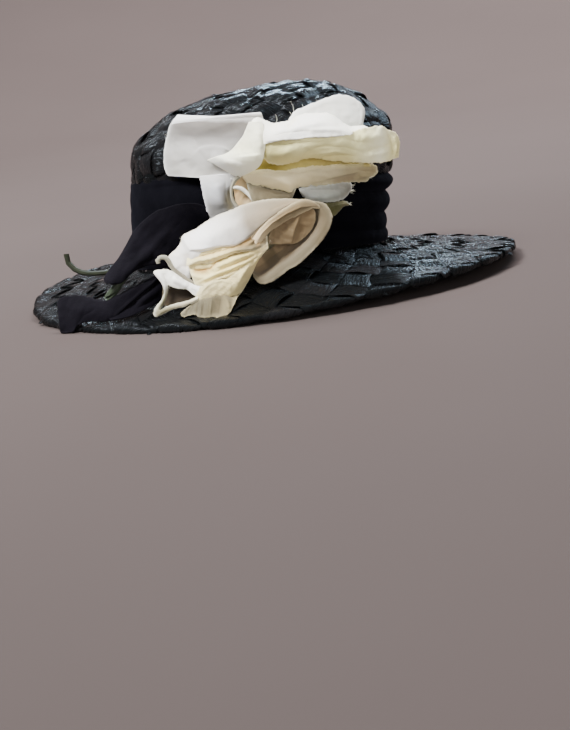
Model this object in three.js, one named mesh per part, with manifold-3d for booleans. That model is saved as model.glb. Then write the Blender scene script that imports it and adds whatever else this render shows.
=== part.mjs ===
// Wide-brim straw hat with a draped velvet band, two cloth roses, velvet leaves and two wired stems.
// Millimetres. +X is the front of the hat, -Y its trimmed side, +Z up. The hat stands on its brim at z = 0.
import * as THREE from 'three';
import { mergeVertices } from 'three/addons/utils/BufferGeometryUtils.js';
import Module from 'manifold-3d';

// ---------------------------------------------------------------- driving sizes
const WALL = 2.5;          // plaited straw
const GAP = 0.3;           // clear space between neighbouring pieces
const RIM_PLANE = 6.6;     // mean height of the rim's edge
const RIM = { ax: 192, ay: 167, wave: 1.0, twist: -5.3, edge: 2.2 };   // half length, half width, cos 2t and sin 2t of its height, half depth of the turned edge
const HEADLINE = { cx: -8, ax: 100, ay: 86, mean: 18.5, fore: -1.0, side: -5.0, wave: -3.5 };   // where crown and brim meet, heights over the rim plane
const BRIM_FALL = 1.15;    // how the brim's drop is shared out between headline and rim
const BAND = { foot: 2.4, top: 78.5, fore: -9, side: -9, thick: 3.6, relief: 2.2, folds: 4 };
const CLOTH = 1.2;         // petals and leaves
const STEM_R = 2.1;        // wired stem
const STUB_R = { top: 2.6, end: 3.8, bore: 2.5, depth: 4 };
const AROUND = 40;         // facets round the crown and the band
const RIM_AROUND = 56;     // facets round the brim

// crown: height over the rim plane, centre along X, half length, half width (outside)
const CROWN = [
  // z,    cx,  ax,    ay
  [24.5, -7.5, 100.2, 86.2],
  [46,   -5,   101,   86.5],
  [70,   -2.2, 101.2, 86.5],
  [92,   1.5,  102,   86.5],
  [106,  3,    101,   85],
  [114,  4,    97.5,  82],
  [122,  5,    88,    75],
  [130,  5.5,  78,    67],
  [136.5, 7.5, 66,    57],
  [141.5, 13,  51,    44],
  [144.8, 20,  33,    28.5],
  [146.5, 26,  15,    13],
];
const CROWN_TOP = { z: 147, cx: 28 };

// cloth pieces: a row for each section across the piece
// x, y, z of its middle, half its width, tilt of its width in the XZ plane and lean towards +Y in degrees, bow towards the viewer's side
const SHEETS = {
  rose_upper_left: [
    // x,     y,      z,     half, tilt,  lean, bow
    [-64, -65, 123.8, 21.9, -109, 2.6, 3],
    [-50.8, -79.5, 121.6, 23.9, -108.6, 1.2, 6],
    [-33.2, -91, 118.8, 25.4, -107.6, 0, 6],
    [-14.3, -96.5, 118.1, 24.7, -111.1, 1.2, 4],
    [-1.8, -98, 119.6, 20.8, -115.6, 2.8, 2],
    [10.6, -97.2, 114, 15.3, -116.6, 2.8, 1],
  ],
  rose_upper_tail: [
    // x,     y,      z,     half, tilt,  lean, bow
    [-33.2, -93.2, 97.5, 11.8, 0.1, -3.7, 3],
    [-34.5, -94.2, 85, 10, 3.6, -4.3, 3],
    [-33.5, -96, 67.8, 11.2, 4.6, -5.1, 2],
  ],
  rose_upper_back: [
    // x,     y,      z,     half, tilt,  lean, bow
    [25, -97, 129.8, 10.5, 43.2, 28.4, 1],
    [39.1, -93.5, 131.8, 15, 46.5, 39.3, 3],
    [54.6, -90.5, 132.2, 19.3, 50.5, 40.4, 4],
    [67.5, -88.5, 128.6, 19.1, 55.7, 41, 4],
    [74.4, -91, 120.6, 10.1, 48.3, 44.1, 2],
  ],
  rose_upper_lobe: [
    // x,     y,      z,     half, tilt,  lean, bow
    [-20.6, -104.5, 122.9, 18.5, -141.3, 10.9, -6],
    [-12.8, -110, 116.6, 18.7, -134.8, 12.4, -8],
    [-6, -112.5, 110.3, 15.9, -128.1, 16.4, -7],
    [-0.5, -112, 106, 9.9, -122.7, 23.8, -3],
  ],
  rose_upper_top: [
    // x,     y,      z,     half, tilt,  lean, bow
    [-1.3, -111.5, 127.1, 10.6, -53.3, -44.8, 3],
    [13.4, -112.5, 127.4, 10.6, -79.5, -53.2, 5],
    [32.9, -113, 128.9, 11.1, -87.6, -54.2, 6],
    [51.3, -112, 127.5, 11.7, -89.8, -50.1, 6],
    [65.7, -110, 120.9, 8.3, -93.8, -57.6, 4],
    [77.4, -106, 119.5, 4.3, -81.7, -68.9, 1],
  ],
  rose_upper_front: [
    // x,     y,      z,     half, tilt,  lean, bow
    [4.1, -112, 110.7, 10.1, -92.5, 23.4, 4],
    [20.6, -114.5, 111.3, 11.3, -88.5, 23.4, 6],
    [39.2, -114.5, 110.7, 11, -87.6, 24.1, 7],
    [58.5, -112.5, 109.1, 10, -90.2, 26.8, 7],
    [76.7, -107.5, 108.1, 13.6, -94.8, 19.4, 7],
    [90.8, -100, 105.7, 13.4, -97.9, 17.3, 5],
    [100.6, -93, 102.1, 7.6, -100.3, 15.2, 1],
  ],
  rose_upper_under: [
    // x,     y,      z,     half, tilt,  lean, bow
    [-6.9, -100, 102.8, 3.9, -86.3, 14.9, 1],
    [11.8, -104.2, 102.2, 5.3, -89, 13.6, 2],
    [35.6, -104.5, 101, 5, -96.2, 17.4, 2],
    [58, -101.5, 99.3, 5.1, -87, 17.1, 2],
    [77.5, -95, 96.6, 3.4, -75.1, 17.3, 1],
  ],
  rose_upper_lower: [
    // x,     y,      z,     half, tilt,  lean, bow
    [-12.8, -96.5, 93.8, 6.2, -87.1, 14, 2],
    [-0.3, -100, 91.8, 8.4, -97.2, 13.8, 4],
    [21.3, -101.5, 90.2, 8.4, -86.1, 17.4, 5],
    [43.9, -99.5, 89.7, 7.9, -90.3, 18.4, 5],
    [63.8, -94, 88.4, 8.1, -95.6, 14.4, 4],
    [79, -87, 87.6, 7.9, -117.6, 7.2, 1],
  ],
  rose_upper_base: [
    // x,     y,      z,     half, tilt,  lean, bow
    [-16.4, -96.5, 85.8, 7.1, -128.2, -4, 2],
    [-4.6, -97, 81.1, 7.8, -119.6, -7.4, 3],
    [12.6, -96.2, 78, 6.7, -110.1, -6.5, 3],
    [20.8, -94.8, 78.3, 5.1, -105.4, -2.8, 1],
  ],
  rose_upper_small: [
    // x,     y,      z,     half, tilt,  lean, bow
    [26.8, -92.8, 79.1, 2.9, -67.2, -4.9, 1],
    [38.2, -94, 76.7, 6.6, -103.8, -8.8, 4],
    [52.1, -93, 75.9, 6.9, -97.3, -8.3, 4],
    [63.4, -89.5, 75.5, 4.8, -105.9, -6, 1],
  ],
  rose_upper_sepal: [
    // x,     y,      z,     half, tilt,  lean, bow
    [45.1, -91.5, 65.5, 4.9, -114.5, -5.8, 1],
    [52.8, -90.8, 64.4, 4.9, -110, -2.9, 1],
    [60, -88.5, 65.1, 1.6, -123.3, 0, 0.3],
  ],
  rose_lower_outer: [
    // x,     y,      z,     half, tilt,  lean, bow
    [-69.3, -122.5, 43, 9.5, -77.6, -9.1, 3],
    [-58.8, -124.5, 50.7, 11.8, -77.1, -17.2, 6],
    [-42.7, -124, 57.9, 13, -74.7, -22.6, 8],
    [-25.8, -120.5, 63.6, 14.3, -77.8, -27, 9],
    [-6.4, -115, 68.6, 12.3, -82.3, -29.2, 8],
    [13.6, -109.5, 71.5, 8.1, -92.1, -34, 5],
    [28.2, -105.5, 70.9, 4, -112.7, -39.3, 1],
  ],
  rose_lower_cup: [
    // x,     y,      z,     half, tilt,  lean, bow
    [34.9, -105.5, 71.9, 6.2, -11.6, -23.8, -1],
    [32.1, -109, 62.5, 15.1, -13.5, -19.3, -7],
    [24.8, -113, 52.3, 18.6, -16.2, -22.1, -11],
    [13.2, -117.5, 42.4, 17, -23.8, -30, -12],
    [0.5, -122, 33.8, 13.6, -33.7, -36, -9],
    [-11.9, -124.5, 27.4, 7.9, -67.5, -44.4, -3],
  ],
  rose_lower_inner: [
    // x,     y,      z,     half, tilt,  lean, bow
    [17.5, -114, 68.6, 5.8, -166.8, -20.2, 1],
    [12, -116.5, 59.9, 10, -174.3, -14.6, 3],
    [6.5, -118.5, 48.9, 10.1, -181.1, -14.3, 3],
    [1, -118.5, 42.7, 8.8, -167.5, -16.5, 1],
  ],
  rose_lower_fold_1: [
    // x,     y,      z,     half, tilt,  lean, bow
    [-60.7, -129.8, 43.4, 5.7, -104.9, -12.6, 2],
    [-46.3, -132, 43.4, 7.2, -103.4, -16.2, 4],
    [-25.9, -131.5, 46.4, 5.9, -89.9, -24.9, 4],
    [-7.8, -126, 53.3, 6.2, -76.2, -18.9, 3],
    [7.3, -120, 63.5, 3.2, -70.1, -18, 1],
  ],
  rose_lower_fold_2: [
    // x,     y,      z,     half, tilt,  lean, bow
    [-58.9, -130.8, 30.3, 7.2, -97.9, -2, 3],
    [-44, -134.5, 29, 10, -101.8, -2.9, 5],
    [-26.6, -133.8, 30.2, 11, -93.9, 3.9, 4],
    [-12.5, -129.2, 39.2, 8, -102.5, 1.8, 3],
    [-2.8, -124, 47.3, 3.7, -108.6, 0, 1],
  ],
  rose_lower_ruffle_1: [
    // x,     y,      z,     half, tilt,  lean, bow
    [-86.6, -129, 25.6, 15.7, -96.6, -7.3, -3],
    [-77.3, -132.5, 26.8, 14.6, -100.5, -9.9, -7],
    [-67.4, -134.5, 25.2, 10.3, -101.6, -14, -6],
    [-56, -135, 22.3, 4.1, -91.4, -28.9, -2],
  ],
  rose_lower_ruffle_2: [
    // x,     y,      z,     half, tilt,  lean, bow
    [-65.4, -132, 14.3, 9.3, -122.9, -48.6, 2],
    [-52.1, -139.5, 15.4, 13.1, -106.4, -53.2, 3],
    [-39.3, -143, 15.2, 15.3, -106.6, -58.2, 3],
    [-28.5, -138, 15.7, 12.6, -124.4, -60.6, 2],
  ],
  rose_lower_curl: [
    // x,     y,      z,     half, tilt,  lean, bow
    [-80.4, -123.5, 48.2, 3, 52.8, -9.5, 0.5],
    [-75.9, -125.5, 46.2, 3.5, 50.7, -8.2, 1],
    [-71.6, -127.5, 40.8, 2.9, 43.4, -9.8, 0.6],
  ],
  leaf_upper: [
    // x,     y,      z,     half, tilt,  lean, bow
    [-45.3, -93.5, 78.6, 12, -86.5, -17, 3],
    [-62.9, -97, 67.4, 16.5, -65.7, -21.3, 5],
    [-80.5, -100, 51.6, 17, -60.7, -28.1, 6],
    [-97.7, -103.5, 38.1, 14.1, -59.5, -37, 5],
    [-113.9, -106, 31.7, 6.5, -33.4, -37.8, 1.5],
  ],
  leaf_under: [
    // x,     y,      z,     half, tilt,  lean, bow
    [-77.7, -111.5, 25.7, 14.2, -103.4, -22.8, 3],
    [-96.5, -109.5, 23.4, 13.2, -107.2, -29.4, 3],
    [-116.7, -109.5, 15.6, 13.6, -115.6, -44.2, 2],
    [-129, -107, 9.2, 5.1, -119.1, -51.8, 0.5],
  ],
  leaf_lower: [
    // x,     y,      z,     half, tilt,  lean, bow
    [-80.3, -110.5, 34, 6.4, -118.7, -23.2, 2],
    [-102.7, -111, 25.2, 9.5, -116.2, -25, 3],
    [-126.5, -107.5, 15.4, 11.1, -114.6, -42.4, 3],
    [-145.9, -99.5, 14.5, 13.3, -97.3, -45.4, 3],
    [-160.2, -93, 13, 14.6, -78.7, -38.1, 1],
  ],
};
// the padded heart behind each rose, which its petals are sewn to: middle of its foot on the band, and a profile of depth in front of the foot and radius
const HEARTS = {
  rose_upper_heart: { x: 8, z: 103, foot: -93.2, wide: 1.5, profile: [[0, 15], [3, 14], [6, 9]] },
  rose_lower_heart: { x: -12, z: 53, foot: -94.6, wide: 1.35, profile: [[0, 15], [6, 14], [13, 9]] },
};
// the order in which they lie, from the front to the back
const FRONT_TO_BACK = ['rose_upper_lobe', 'rose_upper_top', 'rose_upper_front', 'rose_upper_under', 'rose_upper_lower', 'rose_upper_left', 'rose_upper_back', 'rose_lower_ruffle_2', 'rose_lower_ruffle_1', 'rose_lower_fold_2', 'rose_lower_fold_1', 'rose_lower_outer', 'rose_lower_curl', 'rose_lower_inner', 'rose_lower_cup', 'rose_upper_base', 'rose_upper_small', 'rose_upper_sepal', 'rose_upper_tail', 'leaf_upper', 'leaf_lower', 'leaf_under'];
const COLOURS = { leaf: 0x14121f, rose: 0xece4d2, sepal: 0xb9bd86 };

// stems: points along the middle
const STEM_LONG = [
  // x,     y,   z
  [-53.2, -93, 58.9],
  [-72.4, -91, 49.1],
  [-89.9, -88, 42],
  [-102.7, -83, 38.3],
  [-115.6, -76, 36.2],
  [-125.4, -69, 35.4],
  [-135.2, -62, 34.8],
  [-142.5, -57, 35.3],
  [-148.7, -53, 37.3],
  [-153.5, -50, 41.2],
  [-155.7, -49, 46],
  [-155.6, -48, 50.2],
];
const STEM_SHORT = [
  [-88.3, -98, 49.3],
  [-100.9, -98, 43.5],
  [-109.5, -98, 35.7],
  [-115.6, -99, 28.9],
  [-119.9, -99.5, 24.2],
  [-124, -99.5, 19.6],
];

// ---------------------------------------------------------------- helpers
const wasm = await Module();
wasm.setup();
const { cos, sin, PI, max, min, hypot } = Math;
const rad = (d) => d * PI / 180;

function geometry(points, triangles) {
  const g = new THREE.BufferGeometry();
  g.setAttribute('position', new THREE.Float32BufferAttribute(points.flat(), 3));
  g.setIndex(triangles.flat());
  return g;
}

function toSolid(geo) {
  let g = geo.clone();
  g.deleteAttribute('normal');
  g.deleteAttribute('uv');
  g = mergeVertices(g, 1e-4);
  const index = g.index.array, keep = [];
  for (let i = 0; i < index.length; i += 3) {
    const [a, b, c] = [index[i], index[i + 1], index[i + 2]];
    if (a !== b && b !== c && a !== c) keep.push(a, b, c);
  }
  return new wasm.Manifold(new wasm.Mesh({ numProp: 3, vertProperties: new Float32Array(g.attributes.position.array), triVerts: new Uint32Array(keep) }));
}

function toGeometry(solid) {
  const m = solid.getMesh(), g = new THREE.BufferGeometry();
  g.setAttribute('position', new THREE.BufferAttribute(new Float32Array(m.vertProperties), 3));
  g.setIndex(new THREE.BufferAttribute(new Uint32Array(m.triVerts), 1));
  return g;
}

const largest = (solid) => solid.decompose().sort((a, b) => b.volume() - a.volume())[0];

// closed solid between rings: rings[i] is a closed loop of points, the last ring joins the first when closed is true, else the ends are capped by a single point
function ringed(rings, closed, startPoint, endPoint) {
  const n = rings[0].length, points = rings.flat(), tris = [];
  const at = (i, j) => (i % rings.length) * n + (j % n);
  const last = closed ? rings.length : rings.length - 1;
  for (let i = 0; i < last; i++) {
    for (let j = 0; j < n; j++) {
      tris.push([at(i, j), at(i, j + 1), at(i + 1, j + 1)], [at(i, j), at(i + 1, j + 1), at(i + 1, j)]);
    }
  }
  if (startPoint) {
    const k = points.push(startPoint) - 1;
    for (let j = 0; j < n; j++) tris.push([k, at(0, j + 1), at(0, j)]);
  }
  if (endPoint) {
    const k = points.push(endPoint) - 1, e = rings.length - 1;
    for (let j = 0; j < n; j++) tris.push([k, at(e, j), at(e, j + 1)]);
  }
  return geometry(points, tris);
}

const circle = (n, f) => Array.from({ length: n }, (_, j) => f(2 * PI * j / n));

// ---------------------------------------------------------------- the brim's and the crown's surfaces
const rimZ = (t) => RIM_PLANE + RIM.wave * cos(2 * t) + RIM.twist * sin(2 * t);
const headZ = (t) => RIM_PLANE + HEADLINE.mean + HEADLINE.fore * cos(t) + HEADLINE.side * sin(t) + HEADLINE.wave * cos(2 * t);

function brimPoint(t, s, inset = 0) {
  const a = [HEADLINE.cx + (HEADLINE.ax - inset) * cos(t), (HEADLINE.ay - inset) * sin(t)];
  const b = [(RIM.ax - inset) * cos(t), (RIM.ay - inset) * sin(t)];
  return [a[0] + (b[0] - a[0]) * s, a[1] + (b[1] - a[1]) * s, rimZ(t) + (headZ(t) - rimZ(t)) * (1 - s) ** BRIM_FALL];
}

function crownRow(z) {
  let i = 0;
  while (i < CROWN.length - 2 && CROWN[i + 1][0] < z) i++;
  const [p, q] = [CROWN[i], CROWN[i + 1]], f = max(0, (z - p[0]) / (q[0] - p[0]));
  return p.map((v, k) => v + (q[k] - v) * f);
}

function makeCrown() {
  const rows = CROWN.map((r) => [...r]);
  // the profile's outward normal at each row, from its half length and height
  const normals = rows.map((r, i) => {
    const a = rows[max(0, i - 1)], b = i + 1 < rows.length ? rows[i + 1] : [CROWN_TOP.z, CROWN_TOP.cx, 0, 0];
    const l = hypot(b[2] - a[2], b[0] - a[0]);
    return [(b[0] - a[0]) / l, -(b[2] - a[2]) / l];
  });
  // the lowest row follows the headline's own height, so the wall stands on the brim
  const foot = (t) => headZ(t) - RIM_PLANE + WALL / 2 + GAP;
  const ring = (r, dr, dz, isFoot) => circle(AROUND, (t) => [r[1] + (r[2] - dr) * cos(t), (r[3] - dr) * sin(t), RIM_PLANE + (isFoot ? foot(t) : r[0] - dz)]);
  const footRow = [0, HEADLINE.cx, HEADLINE.ax, HEADLINE.ay];
  const outer = rows.slice(1).map((r, i) => ring(r, 0, 0, false));
  const inner = rows.map((r, i) => ring(r, normals[i][0] * WALL, normals[i][1] * WALL, false)).filter((_, i) => i && (i % 2 || i > 9)).reverse();
  // from the inside's top down to the foot, and up the outside
  const rings = [...inner, ring(footRow, WALL, 0, true), ring(footRow, 0, 0, true), ...outer];
  const cap = [CROWN_TOP.cx, 0, RIM_PLANE + CROWN_TOP.z], under = [CROWN_TOP.cx, 0, RIM_PLANE + CROWN_TOP.z - WALL];
  return ringed(rings, false, under, cap);
}

function makeBrim() {
  const steps = [0, 0.2, 0.4, 0.6, 0.8, 0.94];
  const section = [];
  for (const s of steps) section.push((t) => { const p = brimPoint(t, s, (1 - s) * WALL); return [p[0], p[1], p[2] + WALL / 2]; });
  section.push((t) => { const p = brimPoint(t, 1, 0.8); return [p[0], p[1], rimZ(t) + RIM.edge - 0.3]; });
  section.push((t) => { const p = brimPoint(t, 1); return [p[0], p[1], max(1.2, rimZ(t) + 0.4)]; });
  section.push((t) => { const p = brimPoint(t, 1, 0.4); return [p[0], p[1], max(0, rimZ(t) - RIM.edge)]; });
  section.push((t) => { const p = brimPoint(t, 1, 0.4 + WALL + 0.6); return [p[0], p[1], max(0, rimZ(t) - RIM.edge)]; });
  for (const s of [0.94, 0.5, 0]) section.push((t) => { const p = brimPoint(t, s, (1 - s) * WALL + s * 1.0); return [p[0], p[1], p[2] - WALL / 2]; });
  const rings = section.map((f) => circle(RIM_AROUND, f));
  return ringed(rings.reverse(), true);
}

const bandTop = (t) => BAND.top + BAND.fore * cos(t) + BAND.side * sin(t);
const bandFoot = (t) => headZ(t) - RIM_PLANE + WALL / 2 + BAND.foot;

function makeBand() {
  const levels = 2 * BAND.folds;
  const level = (t, f) => bandFoot(t) + (bandTop(t) - bandFoot(t)) * f;
  const wall = (t, z, out) => { const r = crownRow(z); return [r[1] + (r[2] + out) * cos(t), (r[3] + out) * sin(t), RIM_PLANE + z]; };
  const section = [];
  for (let i = 0; i <= levels; i++) {
    const f = i / levels, fold = i % 2 ? 1 : -0.4;
    section.push((t) => wall(t, level(t, f), BAND.thick + BAND.relief * fold * (0.55 + 0.45 * cos(t)) - (i === 0 || i === levels ? 1.2 : 0)));
  }
  for (const f of [1, 0.6, 0.25, 0]) section.push((t) => wall(t, level(t, f), GAP + 0.35));
  return ringed(section.map((f) => circle(AROUND, f)), true);
}

// ---------------------------------------------------------------- cloth pieces
function sectionAt(rows, u) {
  const n = rows.length, k = u * (n - 1), j = min(Math.floor(k), n - 2), f = k - j;
  const end = (a, b) => a.map((v, i) => 2 * v - b[i]);
  const p1 = rows[j], p2 = rows[j + 1];
  const p0 = j > 0 ? rows[j - 1] : end(p1, p2), p3 = j + 2 < n ? rows[j + 2] : end(p2, p1);
  return p1.map((_, i) => 0.5 * (2 * p1[i] + (p2[i] - p0[i]) * f + (2 * p0[i] - 5 * p1[i] + 4 * p2[i] - p3[i]) * f * f + (3 * p1[i] - p0[i] - 3 * p2[i] + p3[i]) * f ** 3));
}

function makeSheet(rows, thick, grow = 0) {
  const across = 4, along = 2 * (rows.length - 1), front = [], back = [];
  const spots = [];
  for (let i = 0; i <= along; i++) {
    const r = sectionAt(rows, i / along), t = rad(r[4]), l = rad(r[5]);
    const e = new THREE.Vector3(cos(t) * cos(l), sin(l), sin(t) * cos(l));
    const n = new THREE.Vector3(0, -1, 0); n.addScaledVector(e, -n.dot(e)).normalize();
    const line = [];
    for (let j = 0; j <= across; j++) {
      const v = -1 + 2 * j / across;
      line.push(new THREE.Vector3(r[0], r[1], r[2]).addScaledVector(e, (r[3] + grow) * v).addScaledVector(n, r[6] * (1 - v * v)));
    }
    spots.push(line);
  }
  if (grow) {
    for (let j = 0; j <= across; j++) {
      const first = spots[0][j].clone().sub(spots[1][j]).setLength(grow), last = spots[along][j].clone().sub(spots[along - 1][j]).setLength(grow);
      spots[0][j].add(first); spots[along][j].add(last);
    }
  }
  for (let i = 0; i <= along; i++) {
    for (let j = 0; j <= across; j++) {
      const a = spots[max(0, i - 1)][j], b = spots[min(along, i + 1)][j], c = spots[i][max(0, j - 1)], d = spots[i][min(across, j + 1)];
      const n = b.clone().sub(a).cross(d.clone().sub(c)).normalize().multiplyScalar(thick / 2);
      const p = spots[i][j];
      front.push([p.x + n.x, p.y + n.y, p.z + n.z]); back.push([p.x - n.x, p.y - n.y, p.z - n.z]);
    }
  }
  const w = across + 1, total = front.length, at = (i, j) => i * w + j, tris = [];
  for (let i = 0; i < along; i++) {
    for (let j = 0; j < across; j++) {
      const [a, b, c, d] = [at(i, j), at(i + 1, j), at(i + 1, j + 1), at(i, j + 1)];
      tris.push([a, b, c], [a, c, d], [a + total, c + total, b + total], [a + total, d + total, c + total]);
    }
  }
  const rim = [];
  for (let j = 0; j < across; j++) rim.push([at(0, j + 1), at(0, j)]);
  for (let i = 0; i < along; i++) rim.push([at(i, 0), at(i + 1, 0)]);
  for (let j = 0; j < across; j++) rim.push([at(along, j), at(along, j + 1)]);
  for (let i = along; i > 0; i--) rim.push([at(i, across), at(i - 1, across)]);
  for (const [a, b] of rim) tris.push([b, a, a + total], [b, a + total, b + total]);
  return geometry([...front, ...back], tris);
}

// ---------------------------------------------------------------- assembly
const hat = new THREE.Group();

function add(name, geo, color, roughness, metalness = 0) {
  geo.computeVertexNormals();
  const m = new THREE.Mesh(geo, new THREE.MeshStandardMaterial({ color, roughness, metalness }));
  m.name = name;
  hat.add(m);
}

const crown = toSolid(makeCrown()), brim = toSolid(makeBrim()), band = toSolid(makeBand());
add('crown', toGeometry(crown), 0x0b0c0f, 0.25);
add('brim', toGeometry(brim), 0x0b0c0f, 0.25);
add('hat_band', toGeometry(band), 0x06060a, 0.9);

// a wired stem: a round section along its curve
function tube(points, r, sides, steps) {
  const path = new THREE.CatmullRomCurve3(points.map((p) => new THREE.Vector3(...p)));
  const shape = new THREE.Shape(circle(sides, (t) => new THREE.Vector2(r * cos(t), r * sin(t))));
  return new THREE.ExtrudeGeometry(shape, { extrudePath: path, steps, bevelEnabled: false });
}

// the short stub widens to its cut end and is hollow there
function stub(points) {
  const path = new THREE.CatmullRomCurve3(points.map((p) => new THREE.Vector3(...p))), rings = [], n = 10, steps = 6;
  const ringAt = (u, r) => {
    const c = path.getPointAt(u), d = path.getTangentAt(u), a = new THREE.Vector3(0, 1, 0).cross(d).normalize(), b = d.clone().cross(a);
    return circle(n, (t) => c.clone().addScaledVector(a, r * cos(t)).addScaledVector(b, r * sin(t)).toArray());
  };
  for (let i = 0; i <= steps; i++) rings.push(ringAt(i / steps, STUB_R.top + (STUB_R.end - STUB_R.top) * (i / steps) ** 2));
  rings.push(ringAt(1, STUB_R.bore));
  const inside = 1 - STUB_R.depth / path.getLength();
  rings.push(ringAt(inside, STUB_R.bore * 0.8));
  return ringed(rings, false, path.getPointAt(0).toArray(), path.getPointAt(inside).toArray());
}

const placed = [];    // what a later, deeper piece is cut clear of
for (const s of [crown, brim, band]) placed.push(s);
for (const [name, h] of Object.entries(HEARTS)) {
  // a low cone with its axis along -Y, wider along X than it is high
  const rings = h.profile.map(([depth, r]) => circle(16, (a) => [h.x + h.wide * r * cos(a), h.foot - depth, h.z + r * sin(a)]));
  const end = h.profile[h.profile.length - 1][0] + 1;
  let solid = toSolid(ringed(rings, false, [h.x, h.foot, h.z], [h.x, h.foot - end, h.z]));
  for (const other of placed) solid = solid.subtract(other);
  add(name, toGeometry(largest(solid)), 0xb9b28e, 0.7);
  const grown = h.profile.map(([depth, r]) => circle(16, (a) => [h.x + (h.wide * r + GAP) * cos(a), h.foot - depth - GAP, h.z + (r + GAP) * sin(a)]));
  placed.push(toSolid(ringed(grown, false, [h.x, h.foot - GAP, h.z], [h.x, h.foot - end - 2 * GAP, h.z])));
}
const stems = { stem_long: toSolid(tube(STEM_LONG, STEM_R, 8, 18)), stem_short: toSolid(stub(STEM_SHORT)) };
for (const name of FRONT_TO_BACK) {
  const rows = SHEETS[name];
  let solid = toSolid(makeSheet(rows, CLOTH));
  for (const other of placed) solid = solid.subtract(other);
  solid = largest(solid);
  placed.push(toSolid(makeSheet(rows, CLOTH + 2 * GAP, GAP)));
  const kind = name.startsWith('leaf') ? 'leaf' : name.endsWith('sepal') ? 'sepal' : 'rose';
  add(name, toGeometry(solid), COLOURS[kind], kind === 'leaf' ? 0.85 : 0.6);
}
for (const [name, s] of Object.entries(stems)) {
  let solid = s;
  for (const other of placed) solid = solid.subtract(other);
  add(name, toGeometry(largest(solid)), 0x6d765a, 0.55);
}

export default hat;
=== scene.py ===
# Wide-brim straw hat: woven straw strips, a ruched velvet band, two cloth roses, velvet leaves and wired stems.
import bpy
import math
import numpy as np
from mathutils import Matrix, Vector


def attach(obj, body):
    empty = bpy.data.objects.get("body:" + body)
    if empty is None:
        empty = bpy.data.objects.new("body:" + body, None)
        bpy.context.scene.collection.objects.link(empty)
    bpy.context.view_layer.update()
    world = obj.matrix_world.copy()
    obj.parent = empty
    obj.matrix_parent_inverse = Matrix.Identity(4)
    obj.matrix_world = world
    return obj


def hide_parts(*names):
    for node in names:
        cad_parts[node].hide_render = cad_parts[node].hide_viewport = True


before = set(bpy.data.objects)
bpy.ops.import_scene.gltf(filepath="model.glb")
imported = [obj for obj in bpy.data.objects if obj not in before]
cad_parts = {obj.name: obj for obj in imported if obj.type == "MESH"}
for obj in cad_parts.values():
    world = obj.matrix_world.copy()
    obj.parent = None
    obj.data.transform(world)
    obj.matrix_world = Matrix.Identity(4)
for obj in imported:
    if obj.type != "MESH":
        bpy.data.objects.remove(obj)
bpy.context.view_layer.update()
MM = 0.001

# ------------------------------------------------------------------ sizes, in millimetres, as in the part's source
WALL = 2.5
RIM_PLANE = 6.6
RIM = dict(ax=192.0, ay=167.0, wave=1.0, twist=-5.3, edge=2.2)
HEAD = dict(cx=-8.0, ax=100.0, ay=86.0, mean=18.5, fore=-1.0, side=-5.0, wave=-3.5)
BRIM_FALL = 1.15
BAND = dict(foot=2.4, top=78.5, fore=-9.0, side=-9.0, thick=3.6)
CROWN = np.array([  # height over the rim plane, centre along X, half length, half width
    [18.5, -8.0, 100.0, 86.0],
    [24.5, -7.5, 100.2, 86.2],
    [46, -5, 101, 86.5],
    [70, -2.2, 101.2, 86.5],
    [92, 1.5, 102, 86.5],
    [106, 3, 101, 85],
    [114, 4, 97.5, 82],
    [122, 5, 88, 75],
    [130, 5.5, 78, 67],
    [136.5, 7.5, 66, 57],
    [141.5, 13, 51, 44],
    [144.8, 20, 33, 28.5],
    [146.5, 26, 15, 13],
    [147, 28, 0, 0]], float)

# ------------------------------------------------------------------ camera
EYE = dict(elev=9.59, dist=1200.0, focal=1496.3, roll=7.36, u0=274.40, v0=273.59, W=570.0, H=730.0)


def camera_frame():
    e, roll = math.radians(EYE["elev"]), math.radians(EYE["roll"])
    c = np.array([0.0, -math.cos(e), math.sin(e)]) * EYE["dist"]
    fwd = -c / np.linalg.norm(c)
    r = np.cross(fwd, [0, 0, 1.0]); r /= np.linalg.norm(r)
    u = np.cross(r, fwd)
    r2, u2 = math.cos(roll) * r - math.sin(roll) * u, math.sin(roll) * r + math.cos(roll) * u
    d = np.array([(EYE["u0"] - EYE["W"] / 2) / EYE["focal"], -(EYE["v0"] - EYE["H"] / 2) / EYE["focal"], 1.0])
    d /= np.linalg.norm(d)
    z = np.array([0, 0, 1.0])
    v = np.cross(d, z); s = np.linalg.norm(v); k = d @ z
    K = np.array([[0, -v[2], v[1]], [v[2], 0, -v[0]], [-v[1], v[0], 0]])
    R = np.eye(3) + K + K @ K * ((1 - k) / (s * s))
    return c + np.array([0, 0, RIM_PLANE]), np.stack([r2, u2, fwd], 1) @ R


EYE_AT, EYE_AXES = camera_frame()


def at(px, py, y):
    """The point at depth y that the camera sees at this place of its 570 by 730 frame."""
    d = np.array([(px - EYE["W"] / 2) / EYE["focal"], -(py - EYE["H"] / 2) / EYE["focal"], 1.0]) @ EYE_AXES.T
    return EYE_AT + d * ((y - EYE_AT[1]) / d[1])


def make_camera():
    data = bpy.data.cameras.new("camera")
    cam = bpy.data.objects.new("camera", data)
    bpy.context.collection.objects.link(cam)
    data.sensor_fit = "VERTICAL"
    data.sensor_height = 24.0
    data.lens = 24.0 * EYE["focal"] / EYE["H"]
    data.clip_start = 0.05
    data.clip_end = 60
    x, y, z = EYE_AXES[:, 0], EYE_AXES[:, 1], -EYE_AXES[:, 2]
    m = Matrix([[x[i], y[i], z[i], EYE_AT[i] * MM] for i in range(3)] + [[0, 0, 0, 1]])
    cam.matrix_world = m
    bpy.context.scene.camera = cam


make_camera()


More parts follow.
